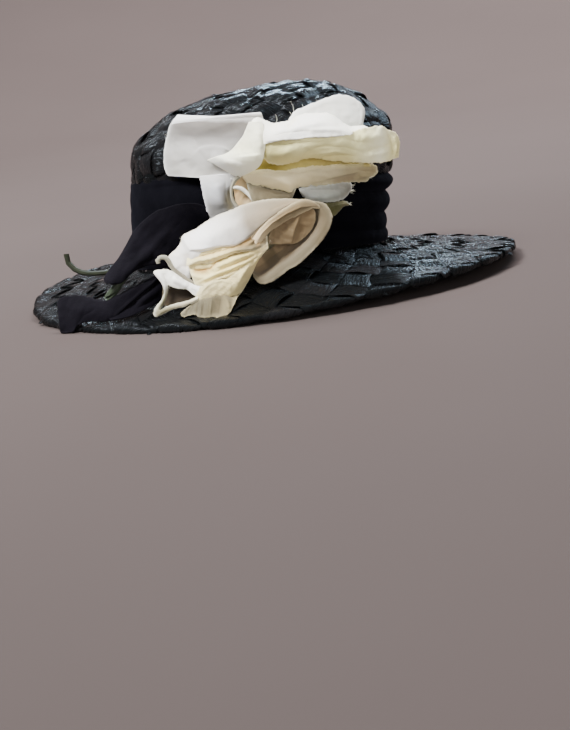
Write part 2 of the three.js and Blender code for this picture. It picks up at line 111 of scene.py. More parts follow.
# ------------------------------------------------------------------ small helpers
def waves(seed, dims, scale, terms=7, spread=0.5):
    """Smooth band-limited noise as a sum of sines over points of the given number of dimensions, about -1 to 1."""
    g = np.random.default_rng(seed)
    d = g.normal(size=(terms, dims)); d /= np.linalg.norm(d, axis=1)[:, None]
    f = (2 * math.pi / scale) * (1 + spread * (g.random(terms) * 2 - 1))
    p = g.random(terms) * 2 * math.pi
    a = 1.0 / math.sqrt(terms / 2)

    def value(x):
        x = np.asarray(x, float)
        return a * sum(np.sin((x @ d[i]) * f[i] + p[i]) for i in range(terms)) * 0.7
    return value


def grid_faces(nu, nv, wrap_u=False, wrap_v=False, start=0):
    mu, mv = (nu if wrap_u else nu - 1), (nv if wrap_v else nv - 1)
    i, j = np.meshgrid(np.arange(mu), np.arange(mv), indexing="ij")
    a = i * nv + j
    b = ((i + 1) % nu) * nv + j
    c = ((i + 1) % nu) * nv + (j + 1) % nv
    d = i * nv + (j + 1) % nv
    return np.stack([a, b, c, d], -1).reshape(-1, 4) + start


def mesh_object(name, verts, faces, uv=None, smooth=True):
    """verts in millimetres; uv is one pair for each vertex."""
    me = bpy.data.meshes.new(name)
    verts = np.asarray(verts, float) * MM
    faces = np.asarray(faces)
    k = faces.shape[1]
    me.vertices.add(len(verts)); me.vertices.foreach_set("co", verts.ravel())
    me.loops.add(faces.size); me.loops.foreach_set("vertex_index", faces.ravel().astype(np.int32))
    me.polygons.add(len(faces))
    me.polygons.foreach_set("loop_start", np.arange(0, faces.size, k, dtype=np.int32))
    me.polygons.foreach_set("use_smooth", np.full(len(faces), smooth))
    if uv is not None:
        layer = me.uv_layers.new(name="UVMap")
        layer.data.foreach_set("uv", np.asarray(uv, float)[faces.ravel()].ravel())
    me.update(calc_edges=True)
    me.validate()
    ob = bpy.data.objects.new(name, me)
    bpy.context.collection.objects.link(ob)
    return ob


def apply_modifiers(ob):
    dg = bpy.context.evaluated_depsgraph_get()
    me = bpy.data.meshes.new_from_object(ob.evaluated_get(dg))
    ob.modifiers.clear()
    ob.data = me


def add_float(ob, name, values):
    a = ob.data.attributes.new(name, "FLOAT", "POINT")
    a.data.foreach_set("value", np.asarray(values, np.float32).ravel())


def unit(v):
    return v / np.maximum(np.linalg.norm(v, axis=-1, keepdims=True), 1e-9)


# ------------------------------------------------------------------ the hat's surfaces
def rim_z(t):
    return RIM_PLANE + RIM["wave"] * np.cos(2 * t) + RIM["twist"] * np.sin(2 * t)


def head_z(t):
    return RIM_PLANE + HEAD["mean"] + HEAD["fore"] * np.cos(t) + HEAD["side"] * np.sin(t) + HEAD["wave"] * np.cos(2 * t)


R_HEAD, R_RIM = 93.0, 179.5   # mean radii of the headline and the rim
ROLL = 1.9                    # radius of the turned edge


def brim_at(t, s):
    """Middle of the straw at angle t, from the headline (s = 0) to the rim (s = 1), and on round the turned edge."""
    k = np.clip(s, None, 1.0)
    rx, ry = RIM["ax"] - ROLL, RIM["ay"] - ROLL
    x = (HEAD["cx"] + (HEAD["ax"] - 1) * np.cos(t)) * (1 - k) + rx * np.cos(t) * k
    y = (HEAD["ay"] - 1) * np.sin(t) * (1 - k) + ry * np.sin(t) * k
    z = rim_z(t) + (head_z(t) - rim_z(t)) * np.clip(1 - k, 0, None) ** BRIM_FALL + 1.7 * np.clip(k, 0, None) ** 6
    d = np.clip(s - 1, 0, None) * (R_RIM - R_HEAD)
    o = np.stack([np.cos(t) * ry, np.sin(t) * rx], -1)
    o = unit(o)
    turn = np.clip(d / ROLL, 0, math.pi)
    back = np.clip(d - math.pi * ROLL, 0, None)
    x = x + o[..., 0] * (ROLL * np.sin(turn) - back)
    y = y + o[..., 1] * (ROLL * np.sin(turn) - back)
    z = z - ROLL * (1 - np.cos(turn)) + 0.22 * back
    return np.stack([x, y, z], -1)


def spline_rows(rows, n):
    """Catmull-Rom through the rows, n samples."""
    m = len(rows)
    ext = np.vstack([2 * rows[0] - rows[1], rows, 2 * rows[-1] - rows[-2]])
    k = np.linspace(0, m - 1, n)
    j = np.clip(k.astype(int), 0, m - 2)
    f = (k - j)[:, None]
    p0, p1, p2, p3 = ext[j], ext[j + 1], ext[j + 2], ext[j + 3]
    return 0.5 * (2 * p1 + (p2 - p0) * f + (2 * p0 - 5 * p1 + 4 * p2 - p3) * f * f + (3 * p1 - p0 - 3 * p2 + p3) * f ** 3)


PROFILE = spline_rows(CROWN[::-1], 500)          # from the top down to the headline
PROFILE[:, 2:] = np.clip(PROFILE[:, 2:], 0, None)
_step = np.hypot(np.diff(PROFILE[:, 0]), np.diff((PROFILE[:, 2] + PROFILE[:, 3]) / 2))
ARC = np.concatenate([[0], np.cumsum(_step)])    # mean distance from the top
CROWN_ARC = ARC[-1]


def crown_at(t, a, out=0.0):
    """A point of the crown's outside at angle t and distance a from its top; the foot follows the headline."""
    z, cx, ax, ay = (np.interp(a, ARC, PROFILE[:, i]) for i in range(4))
    foot = np.clip((50 - z) / (50 - 18.5), 0, None) ** 2
    z = z + foot * (head_z(t) - RIM_PLANE - 18.5 + 1.2)
    z = z - np.clip(a - CROWN_ARC, 0, None)
    return np.stack([cx + (ax + out) * np.cos(t), (ay + out) * np.sin(t), RIM_PLANE + z], -1)


def crown_row(z):
    """centre, half length and half width of the crown's outside at a height over the rim plane"""
    zs = PROFILE[::-1, 0]
    return [np.interp(z, zs, PROFILE[::-1, i]) for i in (1, 2, 3)]


def normals_of(chart, a, b, ea, eb):
    pa = chart(a + ea, b) - chart(a - ea, b)
    pb = chart(a, b + eb) - chart(a, b - eb)
    return unit(np.cross(pa, pb))


# ------------------------------------------------------------------ woven straw
def weave(name, chart, place, families, width, rise, seed, flip=1.0, calm=None, sink=None):
    """Strips of straw woven over and under. place(family, a, b) turns lattice coordinates into the chart's two
    coordinates. families lists for each strip: family, centre, first and last lattice coordinate along it, steps."""
    across = 7
    v = np.linspace(-0.5, 0.5, across + 1)
    verts, faces, uvs, lift, tone = [], [], [], [], []
    start = 0
    g = np.random.default_rng(seed)
    wob = waves(seed + 1, 2, 3.1, 6)
    amp = waves(seed + 2, 2, 2.3, 7)
    lean = waves(seed + 3, 2, 2.7, 6)
    cup = waves(seed + 4, 2, 1.9, 6)
    crush = waves(seed + 5, 2, 0.55, 9)
    for fam, c, lo, hi, steps in families:
        b = np.linspace(lo, hi, steps + 1)
        line = np.stack([np.full_like(b, c * 1.7 + (40 if fam else 0)), b], -1)
        i = math.floor(c)
        sign = (-1.0) ** i * (1 if fam == 0 else -1)
        wave = np.cos(math.pi * (b - 0.5)) * sign
        slack = np.clip(wob(line * 1.7 + 5.0), -1, 1)
        # a strip draws in where it dives under, which leaves the lens-shaped gaps
        w = width * (1 + 0.07 * wob(line + 9.0) + 0.05 * wave - 0.10 * np.clip(slack - 0.2, 0, 1))
        mid = c + 0.085 * wob(line)
        A = mid[:, None] + v[None, :] * w[:, None]
        B = np.broadcast_to(b[:, None], A.shape)
        # over at one crossing, under at the next
        wave = np.sign(wave) * np.abs(wave) ** 0.75
        k = 1 + 0.38 * amp(line)
        height = rise * wave * k
        V = np.broadcast_to(v[None, :], A.shape)
        h = height[:, None] + rise * 0.85 * lean(line)[:, None] * V
        h = h - rise * (1.3 + 0.9 * cup(line))[:, None] * V ** 2 * np.where(wave > 0, 1.0, 0.2)[:, None]
        pts2 = np.stack([A * 1.0 + (60 if fam else 0), B], -1)
        h = h + rise * 0.16 * crush(pts2)
        p, q = place(fam, A, B)
        base = chart(p, q)
        if calm is not None:
            h = h * calm(base)
        n = normals_of(chart, p, q, 0.004, 0.4 if flip < 0 else 0.004) * flip
        if sink is not None:
            h = h - sink(base)
        pos = base + n * h[..., None]
        pos[..., 2] = np.maximum(pos[..., 2], 0.3)      # where the turned edge stands on the surface
        verts.append(pos.reshape(-1, 3))
        faces.append(grid_faces(steps + 1, across + 1, start=start))
        uvs.append(np.stack([B, V + 0.5 + 3.0 * i + (1.37 if fam else 0)], -1).reshape(-1, 2))
        lift.append(np.clip(np.broadcast_to(wave[:, None], A.shape), -1, 1).ravel())
        tone.append(np.full(A.size, g.random()))
        start += A.size
    ob = mesh_object(name, np.concatenate(verts), np.concatenate(faces), np.concatenate(uvs))
    add_float(ob, "lift", np.concatenate(lift))
    add_float(ob, "tone", np.concatenate(tone))
    mod = ob.modifiers.new("thick", "SOLIDIFY")
    mod.thickness = 0.00035
    mod.offset = 0
    apply_modifiers(ob)
    return ob


N_BRIM = 32
LOG_SPAN = N_BRIM * math.log(R_RIM / R_HEAD) / math.pi      # lattice steps from headline to rim
UNDER = 0.60                                                 # lattice steps round the turned edge and under it


def brim_place(fam, a, b):
    A, B = (a, b) if fam == 0 else (b, a)
    t = math.pi * (A + B) / N_BRIM
    q = math.pi * (A - B) / N_BRIM
    r = R_HEAD * np.exp(q)
    return t, (r - R_HEAD) / (R_RIM - R_HEAD)


brim_strips = []
for i in range(N_BRIM):
    c = i + 0.5
    # family 0 runs along b with a = c: from the rim (b = c - span) in to the headline (b = c)
    brim_strips.append((0, c, c - LOG_SPAN - UNDER, c + 0.25, 88))
    brim_strips.append((1, c, c - 0.25, c + LOG_SPAN + UNDER, 88))
straw_brim = weave("straw_brim", brim_at, brim_place, brim_strips, 0.985, 1.25, 11)

PITCH = 19.5


def crown_place(fam, a, b):
    A, B = (a, b) if fam == 0 else (b, a)
    x, y = (A - B) * PITCH / math.sqrt(2), (A + B) * PITCH / math.sqrt(2)
    return np.arctan2(y, x), np.hypot(x, y)


crown_strips = []
span = CROWN_ARC / PITCH
for fam in (0, 1):
    for i in range(-12, 12):
        c = i + 0.5
        if abs(c) >= span - 0.1:
            continue
        reach = math.sqrt(span * span - c * c)
        steps = max(10, int(2 * reach * PITCH / 2.9))
        crown_strips.append((fam, c, -reach, reach, steps))


def crown_chart(t, a):
    return crown_at(t, np.abs(a))


def front_share(t):
    return np.clip(0.5 + 0.5 * np.cos(t), 0, 1) ** 3


def under_band(base):
    """The band presses the straw flat below its top edge."""
    z = base[..., 2] - RIM_PLANE
    turn = np.arctan2(base[..., 1], base[..., 0])
    top = BAND["top"] + BAND["fore"] * np.cos(turn) + BAND["side"] * np.sin(turn)
    return 0.22 + 0.78 / (1 + np.exp(-(z - top + 1.5) / 1.1))


def band_pull(base):
    """At the front the band's tucks pull the crown in below the band's top edge."""
    z = base[..., 2] - RIM_PLANE
    turn = np.arctan2(base[..., 1], base[..., 0])
    top = BAND["top"] + BAND["fore"] * np.cos(turn) + BAND["side"] * np.sin(turn)
    foot = head_z(turn) - RIM_PLANE
    return 3.3 * front_share(turn) / (1 + np.exp((z - top + 1.0) / 0.8)) * np.clip((z - foot - 1) / 8, 0, 1)


straw_crown = weave("straw_crown", crown_chart, crown_place, crown_strips, 0.985, 2.0, 23, flip=-1.0, calm=under_band, sink=band_pull)


def loose_ends():
    """Short ends of straw that stand off the weave: the surface, where on it (turn and way out), the way they point, how
    far they lift, their length and their width in mm."""
    rows = [("brim", 1.28, 0.97, 1.9, 7, 13, 7), ("brim", 1.22, 0.98, 1.3, 3, 9, 4), ("brim", 0.98, 0.98, 1.7, 3, 8, 6),
            ("brim", 0.80, 0.99, 0.6, 2, 7, 5), ("brim", 0.62, 0.985, 1.4, 2.5, 7, 4), ("brim", 0.34, 0.99, 0.5, 2, 8, 5),
            ("brim", 2.1, 0.98, 2.6, 3, 9, 5), ("brim", 2.75, 0.985, 2.3, 2.5, 8, 5), ("brim", 3.5, 0.99, 3.9, 2, 7, 5),
            ("brim", 4.2, 0.985, 4.6, 2.5, 8, 4), ("brim", 5.1, 0.99, 5.5, 2, 7, 4), ("brim", 5.9, 0.985, 5.4, 2.5, 8, 5),
            ("brim", 0.30, 0.42, 0.9, 1.6, 9, 5), ("brim", 5.75, 0.50, 5.2, 1.8, 10, 5), ("brim", 1.9, 0.5, 2.6, 1.8, 9, 5),
            ("crown", 3.05, 90, 2.6, 1.4, 6, 3), ("crown", 1.6, 84, 1.2, 2.5, 9, 4),
            ("crown", 2.2, 88, 2.0, 2.5, 8, 4), ("crown", 0.6, 86, 0.3, 2.5, 9, 4), ("crown", 4.5, 52, 4.0, 1.8, 8, 3.5),
            ("crown", 5.4, 66, 5.0, 1.8, 8, 3.5), ("crown", 2.9, 40, 2.2, 1.6, 9, 4)]
    verts, faces, uvs, lift, start = [], [], [], [], 0
    g = np.random.default_rng(9)
    k = np.linspace(0, 1, 9)
    w = np.linspace(-0.5, 0.5, 4)
    for where, turn, out, way, rise, length, width in rows:
        chart = brim_at if where == "brim" else crown_chart
        T, A = np.array([[turn]]), np.array([[float(out)]])
        base = chart(T, A)[0, 0]
        n = normals_of(chart, T, A, 0.004, 0.004 if where == "brim" else 0.4)[0, 0] * (1 if where == "brim" else -1)
        d = unit(np.array([math.cos(way), math.sin(way), 0.0]) - n * float(np.dot([math.cos(way), math.sin(way), 0.0], n)))
        side = np.cross(n, d)
        curl = 0.6 + 0.6 * g.random()
        P = base + n * 0.9 + (d[None, None] * (k * length)[:, None, None] + n[None, None] * (rise * k ** 1.6)[:, None, None]
                              + side[None, None] * (w[None, :] * (width * (1 - 0.45 * k ** 2))[:, None])[..., None]
                              + n[None, None] * (curl * (w[None, :] ** 2) * 4 * k[:, None])[..., None])
        P[..., 2] = np.maximum(P[..., 2], 0.3)
        verts.append(P.reshape(-1, 3)); faces.append(grid_faces(9, 4, start=start))
        uvs.append(np.stack(np.broadcast_arrays(k[:, None] * 0.5, w[None] + 0.5 + start), -1).reshape(-1, 2))
        start += 36
    ob = mesh_object("straw_ends", np.concatenate(verts), np.concatenate(faces), np.concatenate(uvs))
    add_float(ob, "lift", np.ones(start)); add_float(ob, "tone", np.full(start, 0.6))
    mod = ob.modifiers.new("thick", "SOLIDIFY"); mod.thickness = 0.0003; mod.offset = 0
    apply_modifiers(ob)
    return ob


straw_ends = loose_ends()
# ------------------------------------------------------------------ materials
def material(name):
    m = bpy.data.materials.new(name)
    m.use_nodes = True
    nt = m.node_tree
    nt.nodes.clear()
    out = nt.nodes.new("ShaderNodeOutputMaterial")
    p = nt.nodes.new("ShaderNodeBsdfPrincipled")
    nt.links.new(p.outputs[0], out.inputs[0])
    return m, nt, p


def node(nt, kind, **props):
    n = nt.nodes.new(kind)
    for k, val in props.items():
        if k in n.inputs:
            n.inputs[k].default_value = val
        else:
            setattr(n, k, val)
    return n


def ramp(nt, fac, stops, mode="LINEAR"):
    r = nt.nodes.new("ShaderNodeValToRGB")
    r.color_ramp.interpolation = mode
    e = r.color_ramp.elements
    while len(e) > 1:
        e.remove(e[0])
    e[0].position, e[0].color = stops[0][0], (*stops[0][1], 1)
    for pos, col in stops[1:]:
        x = e.new(pos); x.color = (*col, 1)
    if fac is not None:
        nt.links.new(fac, r.inputs[0])
    return r


def straw_material():
    m, nt, p = material("black_straw")
    uv = node(nt, "ShaderNodeUVMap", uv_map="UVMap")
    # fine ridges along each strip: noise stretched along it
    mp = node(nt, "ShaderNodeMapping"); mp.inputs["Scale"].default_value = (0.9, 17.0, 1.0)
    nt.links.new(uv.outputs[0], mp.inputs[0])
    ridges = node(nt, "ShaderNodeTexNoise"); ridges.inputs["Scale"].default_value = 1.0
    ridges.inputs["Detail"].default_value = 4.0; ridges.inputs["Roughness"].default_value = 0.6
    nt.links.new(mp.outputs[0], ridges.inputs["Vector"])
    mp2 = node(nt, "ShaderNodeMapping"); mp2.inputs["Scale"].default_value = (2.4, 6.0, 1.0)
    nt.links.new(uv.outputs[0], mp2.inputs[0])
    crump = node(nt, "ShaderNodeTexNoise"); crump.inputs["Scale"].default_value = 1.6
    crump.inputs["Detail"].default_value = 3.0; crump.inputs["Distortion"].default_value = 0.8
    nt.links.new(mp2.outputs[0], crump.inputs["Vector"])
    b1 = node(nt, "ShaderNodeBump"); b1.inputs["Strength"].default_value = 1.0; b1.inputs["Distance"].default_value = 0.0014
    nt.links.new(crump.outputs["Fac"], b1.inputs["Height"])
    b2 = node(nt, "ShaderNodeBump"); b2.inputs["Strength"].default_value = 1.0; b2.inputs["Distance"].default_value = 0.0009
    nt.links.new(ridges.outputs["Fac"], b2.inputs["Height"])
    nt.links.new(b1.outputs[0], b2.inputs["Normal"])
    nt.links.new(b2.outputs[0], p.inputs["Normal"])
    tone = node(nt, "ShaderNodeAttribute", attribute_name="tone")
    col = ramp(nt, tone.outputs["Fac"], [(0, (0.0025, 0.003, 0.0035)), (0.6, (0.004, 0.0045, 0.005)), (1, (0.007, 0.007, 0.008))])
    nt.links.new(col.outputs[0], p.inputs["Base Color"])
    rr = node(nt, "ShaderNodeMapRange"); rr.inputs["To Min"].default_value = 0.14; rr.inputs["To Max"].default_value = 0.34
    rr.inputs["From Min"].default_value = 0.3; rr.inputs["From Max"].default_value = 0.7
    nt.links.new(ridges.outputs["Fac"], rr.inputs[0])
    nt.links.new(rr.outputs[0], p.inputs["Roughness"])
    p.inputs["IOR"].default_value = 1.45
    p.inputs["Specular IOR Level"].default_value = 0.30
    return m


straw = straw_material()
for ob, n in ((straw_brim, "brim"), (straw_crown, "crown")):
    ob.data.materials.clear(); ob.data.materials.append(straw)
    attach(ob, "root"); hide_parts(n)
straw_ends.data.materials.append(straw)
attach(straw_ends, "root")


def velvet_material(name, shade_and_dark_tone, lit, sheen, tint, nap=900.0, root=None, gloss=0.03):
    m, nt, p = material(name)
    co = node(nt, "ShaderNodeTexCoord")
    n1 = node(nt, "ShaderNodeTexNoise"); n1.inputs["Scale"].default_value = 38.0; n1.inputs["Detail"].default_value = 4.0
    nt.links.new(co.outputs["Object"], n1.inputs["Vector"])
    c = ramp(nt, n1.outputs["Fac"], [(0.3, shade_and_dark_tone), (0.7, lit)])
    last = c.outputs[0]
    if root:      # painted shade: the pile is drawn blackest where the leaf passes under the roses, where shade falls
        uv = node(nt, "ShaderNodeUVMap", uv_map="UVMap")
        sep = node(nt, "ShaderNodeSeparateXYZ"); nt.links.new(uv.outputs[0], sep.inputs[0])
        fade = node(nt, "ShaderNodeMapRange"); fade.inputs["From Min"].default_value = 0.12; fade.inputs["From Max"].default_value = 0.60
        nt.links.new(sep.outputs[0], fade.inputs[0])
        mix = node(nt, "ShaderNodeMix", data_type="RGBA")
        nt.links.new(fade.outputs[0], mix.inputs["Factor"])
        mix.inputs[6].default_value = (*root, 1); nt.links.new(last, mix.inputs[7])
        last = mix.outputs[2]
    nt.links.new(last, p.inputs["Base Color"])
    n2 = node(nt, "ShaderNodeTexNoise"); n2.inputs["Scale"].default_value = nap; n2.inputs["Detail"].default_value = 2.0
    nt.links.new(co.outputs["Object"], n2.inputs["Vector"])
    n3 = node(nt, "ShaderNodeTexNoise"); n3.inputs["Scale"].default_value = 120.0; n3.inputs["Detail"].default_value = 3.0
    nt.links.new(co.outputs["Object"], n3.inputs["Vector"])
    b = node(nt, "ShaderNodeBump"); b.inputs["Strength"].default_value = 0.6; b.inputs["Distance"].default_value = 0.0004
    nt.links.new(n2.outputs["Fac"], b.inputs["Height"])
    b3 = node(nt, "ShaderNodeBump"); b3.inputs["Strength"].default_value = 0.5; b3.inputs["Distance"].default_value = 0.0008
    nt.links.new(n3.outputs["Fac"], b3.inputs["Height"])
    nt.links.new(b.outputs[0], b3.inputs["Normal"])
    nt.links.new(b3.outputs[0], p.inputs["Normal"])
    p.inputs["Roughness"].default_value = 0.95
    p.inputs["Specular IOR Level"].default_value = gloss
    p.inputs["Sheen Weight"].default_value = sheen
    p.inputs["Sheen Roughness"].default_value = 0.55
    p.inputs["Sheen Tint"].default_value = (*tint, 1)
    return m


# ------------------------------------------------------------------ velvet band
def band_top(t):
    return BAND["top"] + BAND["fore"] * np.cos(t) + BAND["side"] * np.sin(t)


def band_foot(t):
    return head_z(t) - RIM_PLANE + WALL / 2 + BAND["foot"] - 1.2


def make_band():
    nt_, nf = 420, 84
    t = np.linspace(0, 2 * math.pi, nt_, endpoint=False)
    f = np.linspace(0, 1, nf)
    T, F = np.meshgrid(t, f, indexing="ij")
    ring = np.stack([np.cos(T), np.sin(T)], -1)
    drift = waves(31, 2, 1.5, 6)(ring) * 0.22 + waves(32, 2, 0.7, 6)(ring) * 0.09
    folds = 4.2
    front = front_share(T)
    # at the front the tucks lie at uneven heights: crease heights, and how far creases and rolls stand out
    crease_at = np.interp(F, [0, 0.19, 0.435, 0.742, 1.0], [0, 1, 2, 3, 4])
    phase = (F * folds + drift + 0.10 * np.sin(3 * T + 1)) * (1 - front) + crease_at * front
    # each tuck is a soft roll over the one below it, sharper in its crease
    saw = phase - np.floor(phase)
    roll = np.sin(math.pi * saw) ** 0.7 - 0.25
    relief = 0.7 + 3.0 * np.clip(0.5 + 0.5 * np.cos(T), 0, 1) ** 1.3 + 0.5 * waves(33, 2, 0.9, 5)(ring)
    edge = np.minimum(F, 1 - F)
    tuck = 1 - np.exp(-(edge / 0.035) ** 2)
    pts = np.stack([np.cos(T) * 90, np.sin(T) * 90, F * 70], -1)
    wrinkle = 0.5 * waves(34, 3, 26, 8)(pts) + 0.22 * waves(35, 3, 9, 9)(pts)
    proud = 0.5 + 0.5 * np.cos(T)
    out = 0.9 + 1.3 * proud + relief * roll + wrinkle * (0.4 + 0.6 * proud)
    out = 0.8 + (np.clip(out, 0.2, None)) * tuck
    k = np.arange(6)
    pinch = np.interp(phase, k, [0.0, -0.7, -2.6, -2.3, -1.2, -1.2])
    i = np.clip(np.floor(phase).astype(int), 0, 4)
    mid = np.array([1.5, 0.1, 1.8, 4.2, -0.6])[i] - np.array([-0.35, -1.65, -2.45, -1.75, -1.2])[i]
    out = out * (1 - front) + (pinch + mid * np.sin(math.pi * saw) ** 0.8 + 0.35 * wrinkle) * front
    z = band_foot(T) + (band_top(T) + 0.8 * np.sin(5 * T) - band_foot(T)) * F
    cx, ax, ay = crown_row(z)
    P = np.stack([cx + (ax + out) * np.cos(T), (ay + out) * np.sin(T), RIM_PLANE + z], -1)
    inner_f = np.linspace(1, 0, 12)
    Ti, Fi = np.meshgrid(t, inner_f, indexing="ij")
    zi = band_foot(Ti) + (band_top(Ti) + 0.8 * np.sin(5 * Ti) - band_foot(Ti)) * Fi
    cxi, axi, ayi = crown_row(zi)
    pull = 0.45 - 3.3 * front_share(Ti)
    Q = np.stack([cxi + (axi + pull) * np.cos(Ti), (ayi + pull) * np.sin(Ti), RIM_PLANE + zi], -1)
    G = np.concatenate([P, Q], 1)
    n = G.shape[1]
    U = np.stack([np.repeat(T[:, :1] / (2 * math.pi) * 12, n, 1), np.broadcast_to(np.concatenate([f, 1 + (1 - inner_f)])[None], (nt_, n))], -1)
    ob = mesh_object("velvet_band", G.reshape(-1, 3), grid_faces(nt_, n, True, True)[:, ::-1], U.reshape(-1, 2))
    area = band_area(P)
    return ob, area


def band_area(P):
    a = np.linalg.norm(np.diff(P, axis=0, append=P[:1]), axis=-1)[:, :-1]
    b = np.linalg.norm(np.diff(P, axis=1), axis=-1)
    return float((a * b).sum()) * 1e-6


velvet_band, band_m2 = make_band()
velvet_band.data.materials.append(velvet_material("band_velvet", (0.0015, 0.0015, 0.0022), (0.0035, 0.0035, 0.005), 0.038, (0.30, 0.30, 0.42)))
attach(velvet_band, "root"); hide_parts("hat_band")


# ------------------------------------------------------------------ cloth pieces
def curve_points(pts, n, jag=0.0, seed=0):
    """A smooth line through the points (px, py, y), n + 1 samples evenly spaced along it."""
    pts = np.array(pts, float)
    gap = np.hypot(*np.diff(pts[:, :2], axis=0).T) + 0.35 * np.abs(np.diff(pts[:, 2]))
    k = np.concatenate([[0], np.cumsum(np.maximum(gap, 0.05))])
    fine = spline_rows(pts, 40 * (len(pts) - 1) + 1)
    kf = np.interp(np.linspace(0, len(pts) - 1, len(fine)), np.arange(len(pts)), k)
    s = np.linspace(0, k[-1], n + 1)
    return np.stack([np.interp(s, kf, fine[:, i]) for i in range(3)], 1)


def seen(P):
    """Where the camera sees the points, in its 570 by 730 frame."""
    q = (P - EYE_AT) @ EYE_AXES
    return EYE["W"] / 2 + EYE["focal"] * q[..., 0] / q[..., 2], EYE["H"] / 2 - EYE["focal"] * q[..., 1] / q[..., 2]


def stroke(px, py, pts):
    """Signed distance from a polyline (positive on its right as it is drawn) and the place along it, 0 to 1."""
    pts = np.array(pts, float)
    seg = np.hypot(*np.diff(pts, axis=0).T)
    run = np.concatenate([[0], np.cumsum(seg)])
    best = np.full(px.shape, 1e9); side = np.zeros(px.shape); along = np.zeros(px.shape)
    for i in range(len(pts) - 1):
        d = pts[i + 1] - pts[i]
        f = np.clip(((px - pts[i, 0]) * d[0] + (py - pts[i, 1]) * d[1]) / (seg[i] ** 2), 0, 1)
        dx, dy = px - pts[i, 0] - f * d[0], py - pts[i, 1] - f * d[1]
        r = np.hypot(dx, dy)
        near = r < best
        best = np.where(near, r, best)
        side = np.where(near, np.sign(d[0] * dy - d[1] * dx), side)
        along = np.where(near, (run[i] + f * seg[i]) / run[-1], along)
    return best * np.where(side == 0, 1, side), along


def relief(px, py, strokes):
    """Height towards the camera and amount of painted shade from rows (kind, points, height, width, shade)."""
    h = np.zeros(px.shape); s = np.zeros(px.shape)
    for kind, pts, height, width, shade in strokes:
        d, t = stroke(px, py, pts)
        fade = np.clip(np.minimum(t, 1 - t) / 0.22, 0, 1)
        fade = 0.25 + 0.75 * fade * fade * (3 - 2 * fade)
        if kind == "ridge":
            p = np.exp(-(d / width) ** 2)
        elif kind == "crease":
            p = np.exp(-np.abs(d) / width)
        elif kind == "fold":        # stands proud on the right of the line and drops at it
            p = np.where(d > 0, np.exp(-np.abs(d) / width), np.exp(-(d / 0.8) ** 2))
        else:                       # hollow: a wide soft dip
            p = np.exp(-(d / (1.15 * width)) ** 2)
        h = h + height * p * fade
        s = s + shade * p * fade
    return h, s


PIECES = {}


